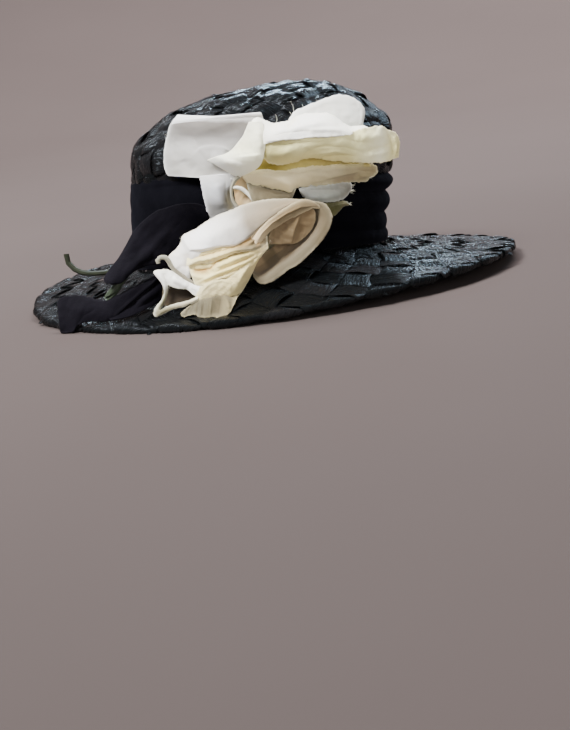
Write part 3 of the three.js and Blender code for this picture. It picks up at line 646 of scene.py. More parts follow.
def petal(name, cad, mat, A, B, bow=0.0, strokes=(), nu=90, nv=40, profile=None, wrinkle=0.16, coarse=0.35, frill=0.0,
          jag=0.0, seed=1, thick=0.45, slot="petal_cloth", held="folded", painted_shade_base=0.0, round_ends=False):
    """A cloth sheet between two drawn edges A and B. Points are (px, py, y)."""
    a, b = curve_points(A, nu), curve_points(B, nu)
    v = np.linspace(0, 1, nv + 1)
    u = np.linspace(0, 1, nu + 1)
    V = np.broadcast_to(v[None, :], (nu + 1, nv + 1)).copy()
    if jag:
        # frayed edges: the drawn line is uneven by up to jag pixels
        reach = np.maximum(np.hypot(*(b - a)[:, :2].T), 4.0)
        for k, near in ((0, v), (9, 1 - v)):
            w = jag * (0.55 * waves(seed + 50 + k, 1, 0.035, 9, 0.9)(u[:, None]) + 0.5 * waves(seed + 51 + k, 1, 0.11, 7, 0.8)(u[:, None]))
            V += (1 if k else -1) * (w / reach)[:, None] * np.exp(-near[None, :] * reach[:, None] / 2.2)
    X = a[:, None] * (1 - V[..., None]) + b[:, None] * V[..., None]
    P = at_many(X)
    px, py = X[..., 0], X[..., 1]
    toward = unit(EYE_AT - P)
    bw = np.interp(u, np.linspace(0, 1, len(np.atleast_1d(bow))), np.atleast_1d(bow)) if np.ndim(bow) else np.full(nu + 1, bow)
    h = bw[:, None] * (1 - (2 * v[None] - 1) ** 2)
    if profile is not None:
        pv, ph = np.array(profile).T
        h = h + np.interp(v, pv, ph)[None, :] * np.clip(np.minimum(u, 1 - u) / 0.06, 0.2, 1)[:, None]
    hr, sh = relief(px, py, strokes)
    L = np.hypot(px, py)
    Q = np.stack([px, py], -1)
    noise = coarse * waves(seed, 2, 26, 6)(Q) + wrinkle * waves(seed + 1, 2, 8.5, 8)(Q) + 0.35 * wrinkle * waves(seed + 2, 2, 3.4, 9)(Q)
    if frill:
        e = np.maximum(np.abs(2 * v - 1)[None, :] ** 4, np.abs(2 * u - 1)[:, None] ** 12)
        noise = noise + frill * waves(seed + 3, 2, 11, 5)(Q) * e
    P = P + toward * (h + hr + noise)[..., None]
    P[..., 2] = np.where(P[..., 2] < 1.2, 0.7 + 0.5 * np.exp(np.minimum(P[..., 2] - 1.2, 0) / 2), P[..., 2])   # what reaches the surface lies on it
    uv = np.stack([np.broadcast_to(u[:, None], px.shape), np.broadcast_to(v[None], px.shape)], -1)
    faces = grid_faces(nu + 1, nv + 1)
    ob = mesh_object(name, P.reshape(-1, 3), faces, uv.reshape(-1, 2))
    du = np.minimum(np.arange(nu + 1), nu - np.arange(nu + 1))[:, None] * (np.linalg.norm(np.diff(P, axis=0), axis=-1).mean())
    dv = np.minimum(np.arange(nv + 1), nv - np.arange(nv + 1))[None] * np.linalg.norm(np.diff(P, axis=1), axis=-1).mean(1, keepdims=True).max()
    span = np.linalg.norm(P[:, -1] - P[:, 0], axis=-1)[:, None]
    dv = np.minimum(v, 1 - v)[None] * span
    edge = np.exp(-np.minimum(du, dv) / 1.1)
    # painted shade: the strokes' shade is stored on the sheet and darkens its colour in hollows, creases and folds
    add_float(ob, "shade_and_dark_tone", np.clip(painted_shade_base + sh, 0, 1.2))
    # lighter tint at the cut edge: partly the cloth's own paler cut thread, partly painted highlight on the lit lips
    add_float(ob, "edge", edge)
    mod = ob.modifiers.new("thick", "SOLIDIFY"); mod.thickness = thick * MM; mod.offset = 0
    apply_modifiers(ob)
    ob.data.materials.clear(); ob.data.materials.append(mat)
    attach(ob, "root")
    if cad:
        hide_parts(cad)
    e1 = np.diff(P, axis=0)[:, :-1]; e2 = np.diff(P, axis=1)[:-1]
    area = float(np.linalg.norm(np.cross(e1, e2), axis=-1).sum()) * 1e-6
    length = max(np.linalg.norm(np.diff(P, axis=0), axis=-1).sum(0).max(), 10) * MM
    width = max(np.linalg.norm(np.diff(P, axis=1), axis=-1).sum(1).max(), 10) * MM
    fill = area / (width * length)
    if fill > 0.98:
        width, length = width * math.sqrt(fill / 0.95), length * math.sqrt(fill / 0.95)
    elif fill < 0.36:
        width = area / (0.5 * length)
    if width < 0.01:      # a narrow strip: its cut is stated 10 mm wide with the same area
        width, length = 0.01, max(0.01, area / 0.0095)
    width, length = round(width, 4), round(length, 4)
    PIECES[name] = (width, length, area)
    return ob


def at_many(X):
    d = np.stack([(X[..., 0] - EYE["W"] / 2) / EYE["focal"], -(X[..., 1] - EYE["H"] / 2) / EYE["focal"], np.ones(X.shape[:-1])], -1) @ EYE_AXES.T
    return EYE_AT + d * ((X[..., 2] - EYE_AT[1]) / d[..., 1])[..., None]


def petal_material(name, root, middle, tip, shade_and_dark_tone, edge, weave_scale=1500.0, sss=0.10, across=False, rough=0.6, stops=None):
    m, nt, p = material(name)
    uv = node(nt, "ShaderNodeUVMap", uv_map="UVMap")
    sep = node(nt, "ShaderNodeSeparateXYZ"); nt.links.new(uv.outputs[0], sep.inputs[0])
    co = node(nt, "ShaderNodeTexCoord")
    n1 = node(nt, "ShaderNodeTexNoise"); n1.inputs["Scale"].default_value = 34.0; n1.inputs["Detail"].default_value = 3.0
    nt.links.new(co.outputs["Object"], n1.inputs["Vector"])
    add = node(nt, "ShaderNodeMath", operation="MULTIPLY_ADD"); add.inputs[1].default_value = 0.16 if stops else 0.3
    nt.links.new(n1.outputs["Fac"], add.inputs[0]); nt.links.new(sep.outputs[1 if across else 0], add.inputs[2])
    sub = node(nt, "ShaderNodeMath", operation="SUBTRACT"); sub.inputs[1].default_value = 0.08 if stops else 0.15
    nt.links.new(add.outputs[0], sub.inputs[0])
    last = ramp(nt, sub.outputs[0], stops or [(0, root), (0.5, middle), (1, tip)]).outputs[0]
    # painted shade in hollows and creases from the strokes, and a lighter tint at the cut edge, partly the cut thread's
    # own paler colour and partly painted highlight
    for attr, colour, gain in (("edge", edge, 0.75), ("shade_and_dark_tone", shade_and_dark_tone, 1.0)):
        at_ = node(nt, "ShaderNodeAttribute", attribute_name=attr)
        f = node(nt, "ShaderNodeMath", operation="MULTIPLY", use_clamp=True); f.inputs[1].default_value = gain
        nt.links.new(at_.outputs["Fac"], f.inputs[0])
        mix = node(nt, "ShaderNodeMix", data_type="RGBA")
        nt.links.new(f.outputs[0], mix.inputs["Factor"])
        nt.links.new(last, mix.inputs[6]); mix.inputs[7].default_value = (*colour, 1)
        last = mix.outputs[2]
    nt.links.new(last, p.inputs["Base Color"])
    # thread of the cloth, and its fine crumple
    n2 = node(nt, "ShaderNodeTexNoise"); n2.inputs["Scale"].default_value = weave_scale; n2.inputs["Detail"].default_value = 1.0
    nt.links.new(co.outputs["Object"], n2.inputs["Vector"])
    n3 = node(nt, "ShaderNodeTexNoise"); n3.inputs["Scale"].default_value = 110.0; n3.inputs["Detail"].default_value = 4.0
    nt.links.new(co.outputs["Object"], n3.inputs["Vector"])
    b = node(nt, "ShaderNodeBump"); b.inputs["Strength"].default_value = 0.15; b.inputs["Distance"].default_value = 0.0002
    nt.links.new(n2.outputs["Fac"], b.inputs["Height"])
    b2 = node(nt, "ShaderNodeBump"); b2.inputs["Strength"].default_value = 0.22; b2.inputs["Distance"].default_value = 0.0006
    nt.links.new(n3.outputs["Fac"], b2.inputs["Height"]); nt.links.new(b.outputs[0], b2.inputs["Normal"])
    nt.links.new(b2.outputs[0], p.inputs["Normal"])
    p.inputs["Roughness"].default_value = rough
    p.inputs["Specular IOR Level"].default_value = 0.3
    p.inputs["Subsurface Weight"].default_value = sss
    p.inputs["Subsurface Radius"].default_value = (1.0, 0.9, 0.7)
    p.inputs["Subsurface Scale"].default_value = 0.003
    p.inputs["Sheen Weight"].default_value = 0.12
    p.inputs["Sheen Roughness"].default_value = 0.5
    return m


def finish(name, stops, shade_and_dark_tone, edge, **more):
    """Cloth tinted along the petal by stops (place, colour), which hold the cloth's own tints and painted shade, with
    the painted shade of its hollows and the lighter tint of its cut edge, partly painted highlight.
    """
    return petal_material(name, None, None, None, shade_and_dark_tone, edge, stops=stops, **more)


# painted shade: besides the cloth's own ivory, cream, yellow-green, olive and beige, these stops paint the shade that
# falls on each petal, so one ivory cloth is split into lit and shaded copies. white, tail, back, outer, shell, beige,
# small, front, fold, fold2, fold3, roll and sepal run between light and painted shade along or across the piece; cup,
# inner, ruffle, base, curl, orange and hollow are shaded all over in paint, for the cup's cavity and the folds beneath;
# under is olive deepened by painted shade; glow and top stay near the cloth's own cream. The third colour of each
# finish is the painted shade of its hollows, the fourth the lighter tint of its cut edge, partly painted highlight.
M = {
    "white": finish("petal_white", [(0, (0.95, 0.96, 0.96)), (0.13, (0.90, 0.90, 0.89)), (0.24, (0.20, 0.186, 0.172)), (0.42, (0.175, 0.168, 0.160)), (0.60, (0.45, 0.445, 0.43)), (0.8, (0.40, 0.395, 0.375)), (1, (0.38, 0.375, 0.345))],
                    (0.42, 0.405, 0.40), (0.95, 0.96, 0.95)),
    "tail": finish("petal_tail", [(0, (0.74, 0.75, 0.74)), (0.35, (0.52, 0.54, 0.57)), (0.7, (0.135, 0.134, 0.132)), (1, (0.088, 0.084, 0.078))], (0.11, 0.095, 0.06), (0.74, 0.74, 0.76)),
    "glow": finish("petal_glow", [(0, (0.94, 0.94, 0.76)), (0.5, (0.95, 0.95, 0.68)), (1, (0.95, 0.96, 0.92))], (0.66, 0.63, 0.40), (0.95, 0.94, 0.76)),
    "top": finish("petal_top", [(0, (0.94, 0.93, 0.80)), (0.4, (0.96, 0.96, 0.92)), (1, (0.95, 0.95, 0.84))], (0.84, 0.78, 0.50), (0.96, 0.95, 0.78)),
    "back": finish("petal_back", [(0, (0.88, 0.88, 0.82)), (0.4, (0.58, 0.585, 0.54)), (1, (0.56, 0.575, 0.54))], (0.58, 0.57, 0.50), (0.93, 0.93, 0.90)),
    "front": finish("petal_front", [(0, (0.34, 0.31, 0.14)), (0.12, (0.40, 0.365, 0.165)), (0.3, (0.93, 0.89, 0.46)), (0.66, (0.93, 0.90, 0.47)), (0.84, (0.98, 0.97, 0.68)), (0.93, (0.80, 0.75, 0.40)), (1, (0.60, 0.54, 0.25))], (0.70, 0.60, 0.26), (0.95, 0.86, 0.56)),
    "under": finish("petal_under", [(0, (0.46, 0.37, 0.07)), (0.35, (0.50, 0.42, 0.13)), (1, (0.42, 0.35, 0.16))], (0.40, 0.32, 0.06), (0.50, 0.42, 0.18)),
    "beige": finish("petal_beige", [(0, (0.80, 0.69, 0.44)), (0.45, (0.84, 0.74, 0.46)), (0.75, (0.36, 0.31, 0.19)), (1, (0.27, 0.225, 0.120))], (0.36, 0.29, 0.18), (0.84, 0.79, 0.52)),
    "base": finish("petal_base", [(0, (0.225, 0.195, 0.128)), (0.5, (0.165, 0.137, 0.082)), (1, (0.20, 0.172, 0.115))], (0.30, 0.25, 0.16), (0.70, 0.68, 0.52)),
    "small": finish("petal_small", [(0, (0.46, 0.48, 0.46)), (0.5, (0.32, 0.34, 0.30)), (1, (0.13, 0.12, 0.095))], (0.36, 0.35, 0.31), (0.84, 0.86, 0.80)),
    "outer": finish("petal_outer", [(0, (0.76, 0.74, 0.68)), (0.14, (0.84, 0.82, 0.78)), (0.3, (0.95, 0.95, 0.94)), (0.45, (0.76, 0.735, 0.69)), (0.60, (0.29, 0.255, 0.205)), (0.8, (0.23, 0.19, 0.13)), (1, (0.27, 0.21, 0.135))],
                    (0.50, 0.38, 0.24), (0.80, 0.72, 0.54)),
    "roll": finish("petal_roll", [(0, (0.82, 0.66, 0.41)), (0.45, (0.128, 0.097, 0.055)), (1, (0.105, 0.077, 0.042))], (0.26, 0.17, 0.08), (0.62, 0.52, 0.33)),
    "cup": finish("petal_cup", [(0, (0.21, 0.180, 0.122)), (0.06, (0.118, 0.098, 0.064)), (0.13, (0.104, 0.088, 0.058)), (0.27, (0.132, 0.111, 0.076)), (0.45, (0.145, 0.107, 0.066)), (0.7, (0.225, 0.165, 0.098)), (1, (0.32, 0.23, 0.135))],
                  (0.088, 0.068, 0.039), (0.34, 0.30, 0.205), across=True),
    "inner": finish("petal_inner", [(0, (0.172, 0.119, 0.062)), (0.5, (0.160, 0.116, 0.063)), (1, (0.20, 0.147, 0.083))], (0.16, 0.108, 0.056), (0.27, 0.21, 0.125)),
    "fold": finish("petal_fold", [(0, (0.82, 0.74, 0.40)), (0.45, (0.80, 0.66, 0.31)), (0.66, (0.20, 0.16, 0.085)), (1, (0.17, 0.135, 0.078))], (0.50, 0.29, 0.10), (0.90, 0.83, 0.58)),
    "fold2": finish("petal_fold_low", [(0, (0.83, 0.73, 0.38)), (0.5, (0.88, 0.74, 0.32)), (1, (0.46, 0.36, 0.185))], (0.42, 0.25, 0.09), (0.90, 0.84, 0.58)),
    "fold3": finish("petal_fold_bowl", [(0, (0.52, 0.46, 0.27)), (0.5, (0.60, 0.52, 0.27)), (0.75, (0.78, 0.66, 0.32)), (1, (0.80, 0.64, 0.29))], (0.42, 0.32, 0.17), (0.88, 0.82, 0.56)),
    "ruffle": finish("petal_ruffle", [(0, (0.130, 0.118, 0.083)), (0.45, (0.112, 0.097, 0.060)), (1, (0.255, 0.215, 0.118))], (0.06, 0.048, 0.03), (0.38, 0.335, 0.21)),
    "shell": finish("petal_shell", [(0, (0.96, 0.96, 0.93)), (0.34, (0.90, 0.90, 0.82)), (0.5, (0.30, 0.30, 0.20)), (0.7, (0.22, 0.20, 0.12)), (1, (0.42, 0.37, 0.25))], (0.07, 0.062, 0.03), (0.90, 0.89, 0.72)),
    # painted shade: a near-black finish for the sheet set in the shell's hollow, where there is only shade
    "hollow": finish("petal_hollow_painted_shade", [(0, (0.026, 0.020, 0.014)), (1, (0.020, 0.015, 0.011))], (0.017, 0.013, 0.009), (0.08, 0.06, 0.035)),
    "curl": finish("petal_curl", [(0, (0.17, 0.175, 0.135)), (0.5, (0.165, 0.154, 0.112)), (1, (0.15, 0.125, 0.085))], (0.15, 0.12, 0.09), (0.38, 0.36, 0.28)),
    # painted shade: the orange-beige of the hollow behind the loop, shade warmed by light bounced in it
    "orange": finish("petal_orange_warm_shade", [(0, (0.74, 0.46, 0.20)), (0.45, (0.58, 0.44, 0.25)), (1, (0.40, 0.31, 0.19))], (0.28, 0.19, 0.11), (0.70, 0.56, 0.36)),
    "sepal": finish("sepal", [(0, (0.050, 0.048, 0.016)), (0.6, (0.090, 0.087, 0.042)), (1, (0.22, 0.19, 0.11))], (0.04, 0.038, 0.012), (0.17, 0.16, 0.085), sss=0.06),
}

# Each petal: name, the solid that it stands for, its finish, edge A, edge B (place in the camera's frame and depth),
# and the
# rest: bow towards the viewer, and strokes (kind, line, height, width, painted shade) for its folds, ridges and
# hollows.
petal("petal_left", "rose_upper_left", M["white"],
      [(171.5, 124.5, -68.9), (173.5, 120.5, -70.2), (177.0, 115.6, -71.2), (178.2, 115.2, -70.4), (174, 119, -69), (170.2, 125, -68), (167.4, 135, -67), (165.6, 143, -66.5), (164, 153, -66), (164, 162, -66), (165, 170, -67), (168.5, 176, -69)],
      [(261.8, 116, -98.6), (262, 114.4, -99.3), (260.5, 112.3, -99.5), (261.5, 113.4, -98.4), (263, 118, -98), (261, 126, -99), (258, 136, -100), (255, 146, -100), (251, 156, -99), (247, 164, -98), (242, 172, -97), (235, 180, -96)],
      bow=[7.4, 8, 9, 9, 8, 7, 6], nu=90, nv=84, coarse=0.35, wrinkle=0.05, jag=0.4, seed=101,
      strokes=[("ridge", [(180, 138), (200, 138), (224, 134), (246, 128)], -3.6, 9, 0.1),
               ("fold", [(196, 152), (200, 148.6), (206, 146.8), (213, 146.2), (223, 147.6), (232, 152.2)], 2.2, 10, 0),
               ("ridge", [(198, 148.4), (206, 144.6), (216, 143.8), (226, 145.6)], -0.9, 3.2, 0.35),
               ("ridge", [(209, 158), (222, 160.5), (234, 166)], 3.0, 6, 0),
               ("ridge", [(177, 128), (173, 140), (172, 154), (174, 168)], 2.2, 6, 0),
               ("ridge", [(184, 158), (186, 166), (196, 172)], -1.4, 6, 0.2),
               ("ridge", [(205, 176), (220, 172), (234, 172)], -1.0, 5, 0.2),
               ("crease", [(194, 138), (196, 142), (198, 147)], -0.7, 1.6, 0.2)])
petal("petal_tail", "rose_upper_tail", M["tail"],
      [(199.5, 176, -93), (200.7, 183, -93.5), (202.8, 193.7, -94.3), (205.3, 204.5, -95.5), (208, 220, -97.5)],
      [(234, 173, -95), (233, 181, -94.6), (232.4, 190, -94.8), (233, 197, -95), (236, 205, -95.6), (242, 215, -97)],
      bow=3, nu=60, nv=40, seed=102, jag=0.5, coarse=0.2, wrinkle=0.05,
      # painted shade: the second stroke darkens the tail's right-hand hollow
      strokes=[("ridge", [(216, 182), (218, 196), (221, 210)], 1.3, 6, 0), ("ridge", [(229, 186), (228.6, 200), (233, 213)], -1.8, 4.6, 0.95),
               ("crease", [(206, 186), (209, 200), (211, 212)], -0.4, 1.6, 0.12), ("fold", [(226, 182), (225, 194), (228, 206)], -0.8, 3, 0.2)])
petal("petal_back", "rose_upper_back", M["back"],
      [(288.5, 121, -99), (291.5, 115.5, -98), (295, 111.2, -95), (303.2, 107.2, -90), (316.3, 102, -84), (330.4, 96.7, -80), (340.1, 94.6, -78), (349.9, 96.6, -77), (357.5, 100.8, -77), (362.9, 106, -78), (364.8, 112, -80), (364, 118.5, -83), (362.5, 124, -87)],
      [(292, 124, -102), (296, 127, -102.5), (302, 129, -103), (312, 131, -103), (322, 132, -103), (332, 133, -102.5), (340, 134, -102), (346, 134.5, -101), (352, 134, -99), (356, 133, -97), (359, 131, -94), (361.5, 129, -91), (362.8, 127, -89)],
      bow=3, nu=96, nv=36, seed=103, jag=0.5, coarse=0.6,
      strokes=[("hollow", [(318, 110), (350, 107)], -1.5, 7, 0.25), ("ridge", [(300, 111), (320, 104), (338, 98)], 1.0, 3, 0), ("fold", [(355, 101), (360, 110), (360, 122)], -0.7, 4, 0.1)])
petal("petal_lobe", "rose_upper_lobe", M["glow"],
      [(249, 122, -110), (245.6, 130, -109), (243, 136, -108), (238.4, 142, -107), (232, 149.5, -106), (225, 154, -105), (216, 156.5, -102.5), (207, 160, -96)],
      [(262, 121, -111), (265, 132, -115), (265.6, 144, -118), (264, 153.5, -118.5), (262, 161.6, -117), (257.5, 168, -112), (249.2, 172.8, -105), (238, 178, -95)],
      bow=[3, 5, 6, 5, 3], nu=70, nv=52, seed=104, coarse=0.3, wrinkle=0.06,
      strokes=[("fold", [(237, 157), (245, 156.2), (252, 155.4), (261, 154.2)], 1.3, 6, 0),
               ("ridge", [(246, 130), (240, 141), (233, 149.5)], 1.2, 2.0, 0), ("hollow", [(238, 150.6), (254, 146)], -1.6, 4.5, 0.22),
               ("ridge", [(250, 128), (247, 138), (240, 148)], -1.0, 4, 0.25),
               ("ridge", [(258, 130), (261, 142), (260, 150)], 1.0, 3.5, 0), ("crease", [(222, 158.5), (236, 160), (246, 164)], -0.4, 2, 0.1),
               ("ridge", [(222, 160), (236, 166), (246, 168.5)], 1.0, 3.5, 0)])
petal("petal_top", "rose_upper_top", M["top"],
      [(252, 120.5, -104), (257, 117.5, -103.5), (262, 119.2, -104), (271.8, 122.9, -106), (278, 122.7, -107), (283.7, 121.6, -107), (291.3, 120.7, -107), (296.7, 116.2, -106), (305.4, 113.6, -105), (317.3, 112.9, -104.5), (329.3, 113.6, -104.5), (336.9, 117.8, -104.5), (344.5, 123.3, -104.5), (351, 126.5, -104), (361.8, 125.6, -102), (366, 126.5, -100.5)],
      [(250, 131, -112), (254, 138.5, -116), (262, 144, -118.5), (271, 142.6, -120.5), (280, 140.6, -122), (288, 140.2, -122.8), (297, 139.6, -123), (305, 138, -123), (312, 137.4, -123), (320, 137.4, -122.5), (330, 137.2, -121.6), (340, 136, -120), (348, 135, -118), (355, 132.8, -114.5), (363, 129.6, -109.5), (369.5, 128.5, -104)],
      bow=[2, 5, 6, 6, 6, 5, 3, 1], nu=120, nv=44, seed=105, coarse=0.4, wrinkle=0.08, frill=0.2, jag=0.45,
      strokes=[("ridge", [(268, 128), (282, 129), (297, 127), (320, 121), (334, 121)], 1.8, 4.5, 0),
               ("crease", [(298, 116.5), (293, 122), (286, 129)], -1.0, 2.4, 0.45),
               ("crease", [(250, 129), (257, 137), (264, 143)], -1.2, 2.4, 0.3),
               ("fold", [(346, 135), (328, 136.4), (312, 136.8), (300, 138.4), (282, 139.6), (268, 141)], 1.0, 2.0, 0),
               ("crease", [(272, 137), (284, 133), (300, 131.6), (318, 131)], -0.45, 1.2, 0.15),
               ("ridge", [(306, 130.5), (326, 129.4), (344, 130)], 0.9, 2.2, 0),
               ("crease", [(322, 117), (333, 122), (342, 128)], -0.5, 2, 0.15)])
petal("petal_front", "rose_upper_front", M["front"],
      [(260, 142.5, -116.5), (267, 141.5, -118), (275, 140.8, -119), (284.8, 139, -120.4), (293, 138.4, -121), (301, 137.4, -121.3), (312, 136.4, -121.2), (328, 135.8, -120), (345.5, 133.8, -117.4), (356, 130.5, -114), (363, 128.4, -111.8), (371.6, 127.1, -108), (377, 126, -106), (381.8, 125.6, -104), (387.8, 129.6, -100.5), (394.4, 131.8, -97), (397.8, 136.4, -95), (400, 143, -93.5)],
      [(262.5, 152, -114), (265, 158.5, -114), (268.5, 163, -114), (274, 164.4, -115), (281, 164.6, -115.5), (290, 163.4, -115.5), (297, 161.8, -115.5), (305, 158.6, -115), (318, 158.5, -114), (332, 161, -112.5), (345, 162, -110.5), (356, 162.5, -108.5), (366, 163, -106), (374, 163, -103.5), (381, 162.8, -102), (389, 160.8, -99.5), (393.5, 158.6, -97.5), (398.6, 157.5, -95)],
      bow=[1, 2, 3, 3, 3, 3, 3, 3, 2, 1], nu=140, nv=46, seed=106, coarse=0.35, wrinkle=0.10, frill=0.3, jag=0.7,
      strokes=[("hollow", [(300, 155), (330, 152), (356, 153)], -1.1, 8, 0.26),
               # painted shade: a stroke of no height that only darkens the bottom of the front petal
               ("hollow", [(266, 163), (296, 160), (330, 160), (366, 162)], 0, 6, 0.75),
               ("ridge", [(264, 150), (272, 154), (284, 153), (296, 148)], 1.6, 5.5, 0),
               ("crease", [(300, 158), (308, 151), (320, 146.5), (336, 144)], -0.7, 2.2, 0.22),
               ("crease", [(270, 145), (284, 143.4), (300, 142.6), (320, 141), (340, 139.6)], -0.7, 2.2, 0.25),
               ("crease", [(322, 157), (340, 154.6), (358, 156)], -0.5, 1.6, 0.3),
               ("ridge", [(372, 131), (380, 138), (386, 147)], -0.5, 3.0, 0.05),
               ("crease", [(306, 148.5), (324, 146), (345, 147), (362, 152)], -0.5, 1.3, 0.25),
               ("ridge", [(316, 154.5), (336, 151.5), (352, 154)], 0.6, 1.8, 0),
               ("ridge", [(360, 136), (372, 137), (384, 134)], 1.6, 5, 0),
               ("crease", [(364, 152), (374, 148.5), (384, 145.5), (391, 143)], -0.9, 1.7, 0.3),
               ("ridge", [(368, 155.5), (378, 154), (388, 152)], 1.1, 3, 0),
               ("crease", [(386, 132), (390.5, 140), (392.5, 150), (392, 157)], -1.4, 2.0, 0.55),
               ("ridge", [(393, 135), (397, 144), (396.4, 154)], 1.3, 1.8, 0),
               ("crease", [(346, 139.5), (358, 142), (372, 142)], -0.4, 1.4, 0.2)])
petal("petal_under", "rose_upper_under", M["under"],
      [(248, 162, -102), (258, 160, -103.5), (270, 158, -105), (290, 156, -106), (310, 154, -106), (330, 153, -104.5), (350, 153, -101.5), (366, 156, -97)],
      [(250, 173, -100), (258, 172.6, -101), (270, 174, -103), (280, 174, -104), (292, 172.5, -104), (312, 169.8, -103), (334, 167.5, -101), (354, 167.2, -98), (371, 166.4, -94)],
      bow=-1.5, nu=100, nv=24, seed=107, coarse=0.2,
      strokes=[("hollow", [(255, 168), (280, 168.5)], -1.0, 4, 0.8), ("ridge", [(300, 165), (330, 162), (356, 163)], 0.6, 2.4, 0)])
petal("petal_lower", "rose_upper_lower", M["beige"],
      [(241.5, 175, -97.6), (245, 172, -99), (257.7, 169.6, -102), (268, 170, -104), (279.4, 170.6, -105), (292.4, 169, -105), (302, 167.5, -104.5), (311.9, 166.6, -104), (322, 165.6, -103), (333.6, 164.6, -102), (345, 164, -100), (355.3, 164, -98), (364, 163.4, -95), (371.6, 163.2, -92), (376.8, 166.4, -89)],
      [(243, 178, -97), (247, 182.2, -97), (257, 184.8, -98), (268.5, 187.6, -99.4), (280, 190, -100.2), (290.5, 192, -100.4), (293.5, 189.6, -100), (297.5, 187.6, -99.4), (310, 186, -98.4), (323, 184.6, -97), (337, 183.4, -95), (350, 182.4, -93), (358, 182, -90.6), (366, 181, -87.5), (377.6, 172.4, -86)],
      bow=[2, 3, 4, 5, 5, 4, 3, 1], nu=124, nv=34, seed=108, coarse=0.4, wrinkle=0.16, jag=0.9, frill=0.3,
      strokes=[("ridge", [(249, 175.5), (262, 176.5), (278, 180), (291, 187)], 1.3, 3.6, 0),
               ("crease", [(258, 171.4), (280, 173), (300, 173), (325, 169)], -0.7, 2, 0.35),
               ("fold", [(362, 171), (346, 174.5), (328, 178.5), (308, 184.5)], 1.8, 4.0, 0),
               ("hollow", [(330, 181.5), (346, 179), (356, 178)], -1.0, 3.2, 0.85),
               ("ridge", [(312, 170.5), (336, 168), (358, 167.5)], 0.8, 2.4, 0),
               ("crease", [(356, 170), (366, 171.5), (374, 171)], -0.8, 1.4, 0.4),
               ("ridge", [(360, 176), (368, 176.5)], 0.9, 1.6, 0), ("crease", [(358, 181), (365, 178.2)], -0.6, 1.2, 0.3),
               ("crease", [(246, 181), (262, 183.5), (280, 187.2)], 0.5, 1.2, 0)])
petal("petal_base", "rose_upper_base", M["base"],
      [(246.4, 182.5, -94.5), (256, 184.4, -95.4), (268.5, 187, -96.4), (280, 189, -97), (290, 190.4, -97), (296.6, 187.4, -96)],
      [(250, 197, -95), (254, 204, -96.5), (264, 206, -97.5), (276, 206, -97.6), (288, 202.5, -97.5), (292.6, 197, -96.6)],
      bow=2, nu=60, nv=28, seed=109,
      strokes=[("hollow", [(252, 189), (270, 193), (284, 196)], -0.6, 3, 0.35), ("crease", [(262, 190), (276, 194), (290, 194.5)], -0.4, 1.5, 0.3),
               ("ridge", [(292, 191), (290.6, 197)], 0.8, 1.6, 0), ("ridge", [(258, 198), (275, 199.5)], 0.6, 2.4, 0)])
petal("petal_small", "rose_upper_small", M["small"],
      [(298.6, 188.6, -93), (303, 187, -93.5), (312, 184.6, -94), (328, 182.6, -94), (342, 181.4, -93), (350, 182.6, -91.5), (351.4, 185, -90.5)],
      [(300.5, 193, -93.4), (304.6, 197.6, -94), (314, 201.2, -95.2), (328, 202, -95.6), (338, 201, -95), (345, 197.6, -93.4), (351.6, 189.4, -91)],
      bow=3.4, nu=64, nv=30, seed=110, jag=0.5, coarse=0.3,
      strokes=[("ridge", [(310, 196.5), (326, 197.6), (342, 193)], 1.4, 3.4, 0), ("crease", [(306, 190.5), (322, 189.5), (340, 190.4)], -0.8, 2.4, 0.5),
               ("crease", [(338, 186), (346, 188)], -0.7, 1.3, 0.5)])
petal("sepal_leaf", "rose_upper_sepal", M["sepal"],
      [(324.8, 203, -91.6), (333, 201.8, -91.6), (341, 201.2, -91), (346, 201.2, -90), (349.4, 204, -89)],
      [(330.6, 212.5, -92.4), (334, 215.8, -92.4), (338.6, 211.8, -92), (343.5, 206.6, -91), (348.8, 205.4, -89)],
      bow=1.5, nu=40, nv=20, seed=111, jag=0.5, slot="sepal_cloth",
      strokes=[("fold", [(328, 208), (337, 205.4), (347, 203.6)], 0.9, 3, 0), ("crease", [(330, 212), (337, 208)], -0.4, 1.3, 0.4)])
# painted shade: an orange-beige sheet set in the hollow behind the loop, standing for its warm shade
petal("petal_hollow_warm_shade", None, M["orange"],
      [(231.6, 178.4, -92.6), (240, 176.5, -93), (249.5, 182, -93.6)],
      [(236.6, 208.5, -93), (246, 206.5, -93.4), (254.5, 203.5, -94)],
      bow=-1, nu=30, nv=36, seed=131, strokes=[("hollow", [(243, 196), (249, 200)], -0.5, 4, 0.6)])
petal("petal_loop", None, M["curl"],
      [(238, 175.6, -98), (233.2, 180, -97.2), (230.4, 188, -97), (230.6, 196, -97.4), (233.4, 203.5, -98), (237.6, 209.5, -99)],
      [(240.5, 177.6, -97.6), (236, 182, -96.8), (233, 189, -96.4), (233.2, 196, -96.8), (236, 202.6, -97.4), (240.4, 208, -98.4)],
      bow=1.0, nu=50, nv=10, seed=132, coarse=0.15, wrinkle=0.06)
petal("petal_strand", None, M["top"],
      [(231.4, 186.6, -96.6), (238, 186, -96.4), (244.6, 188.4, -96), (250, 194, -96), (254.6, 200, -96.4)],
      [(232, 188.6, -96.4), (238, 189.4, -96), (242.6, 191.8, -95.6), (247.6, 196, -95.6), (252.6, 201.4, -96)],
      bow=0.8, nu=40, nv=10, seed=133, coarse=0.15, wrinkle=0.06)

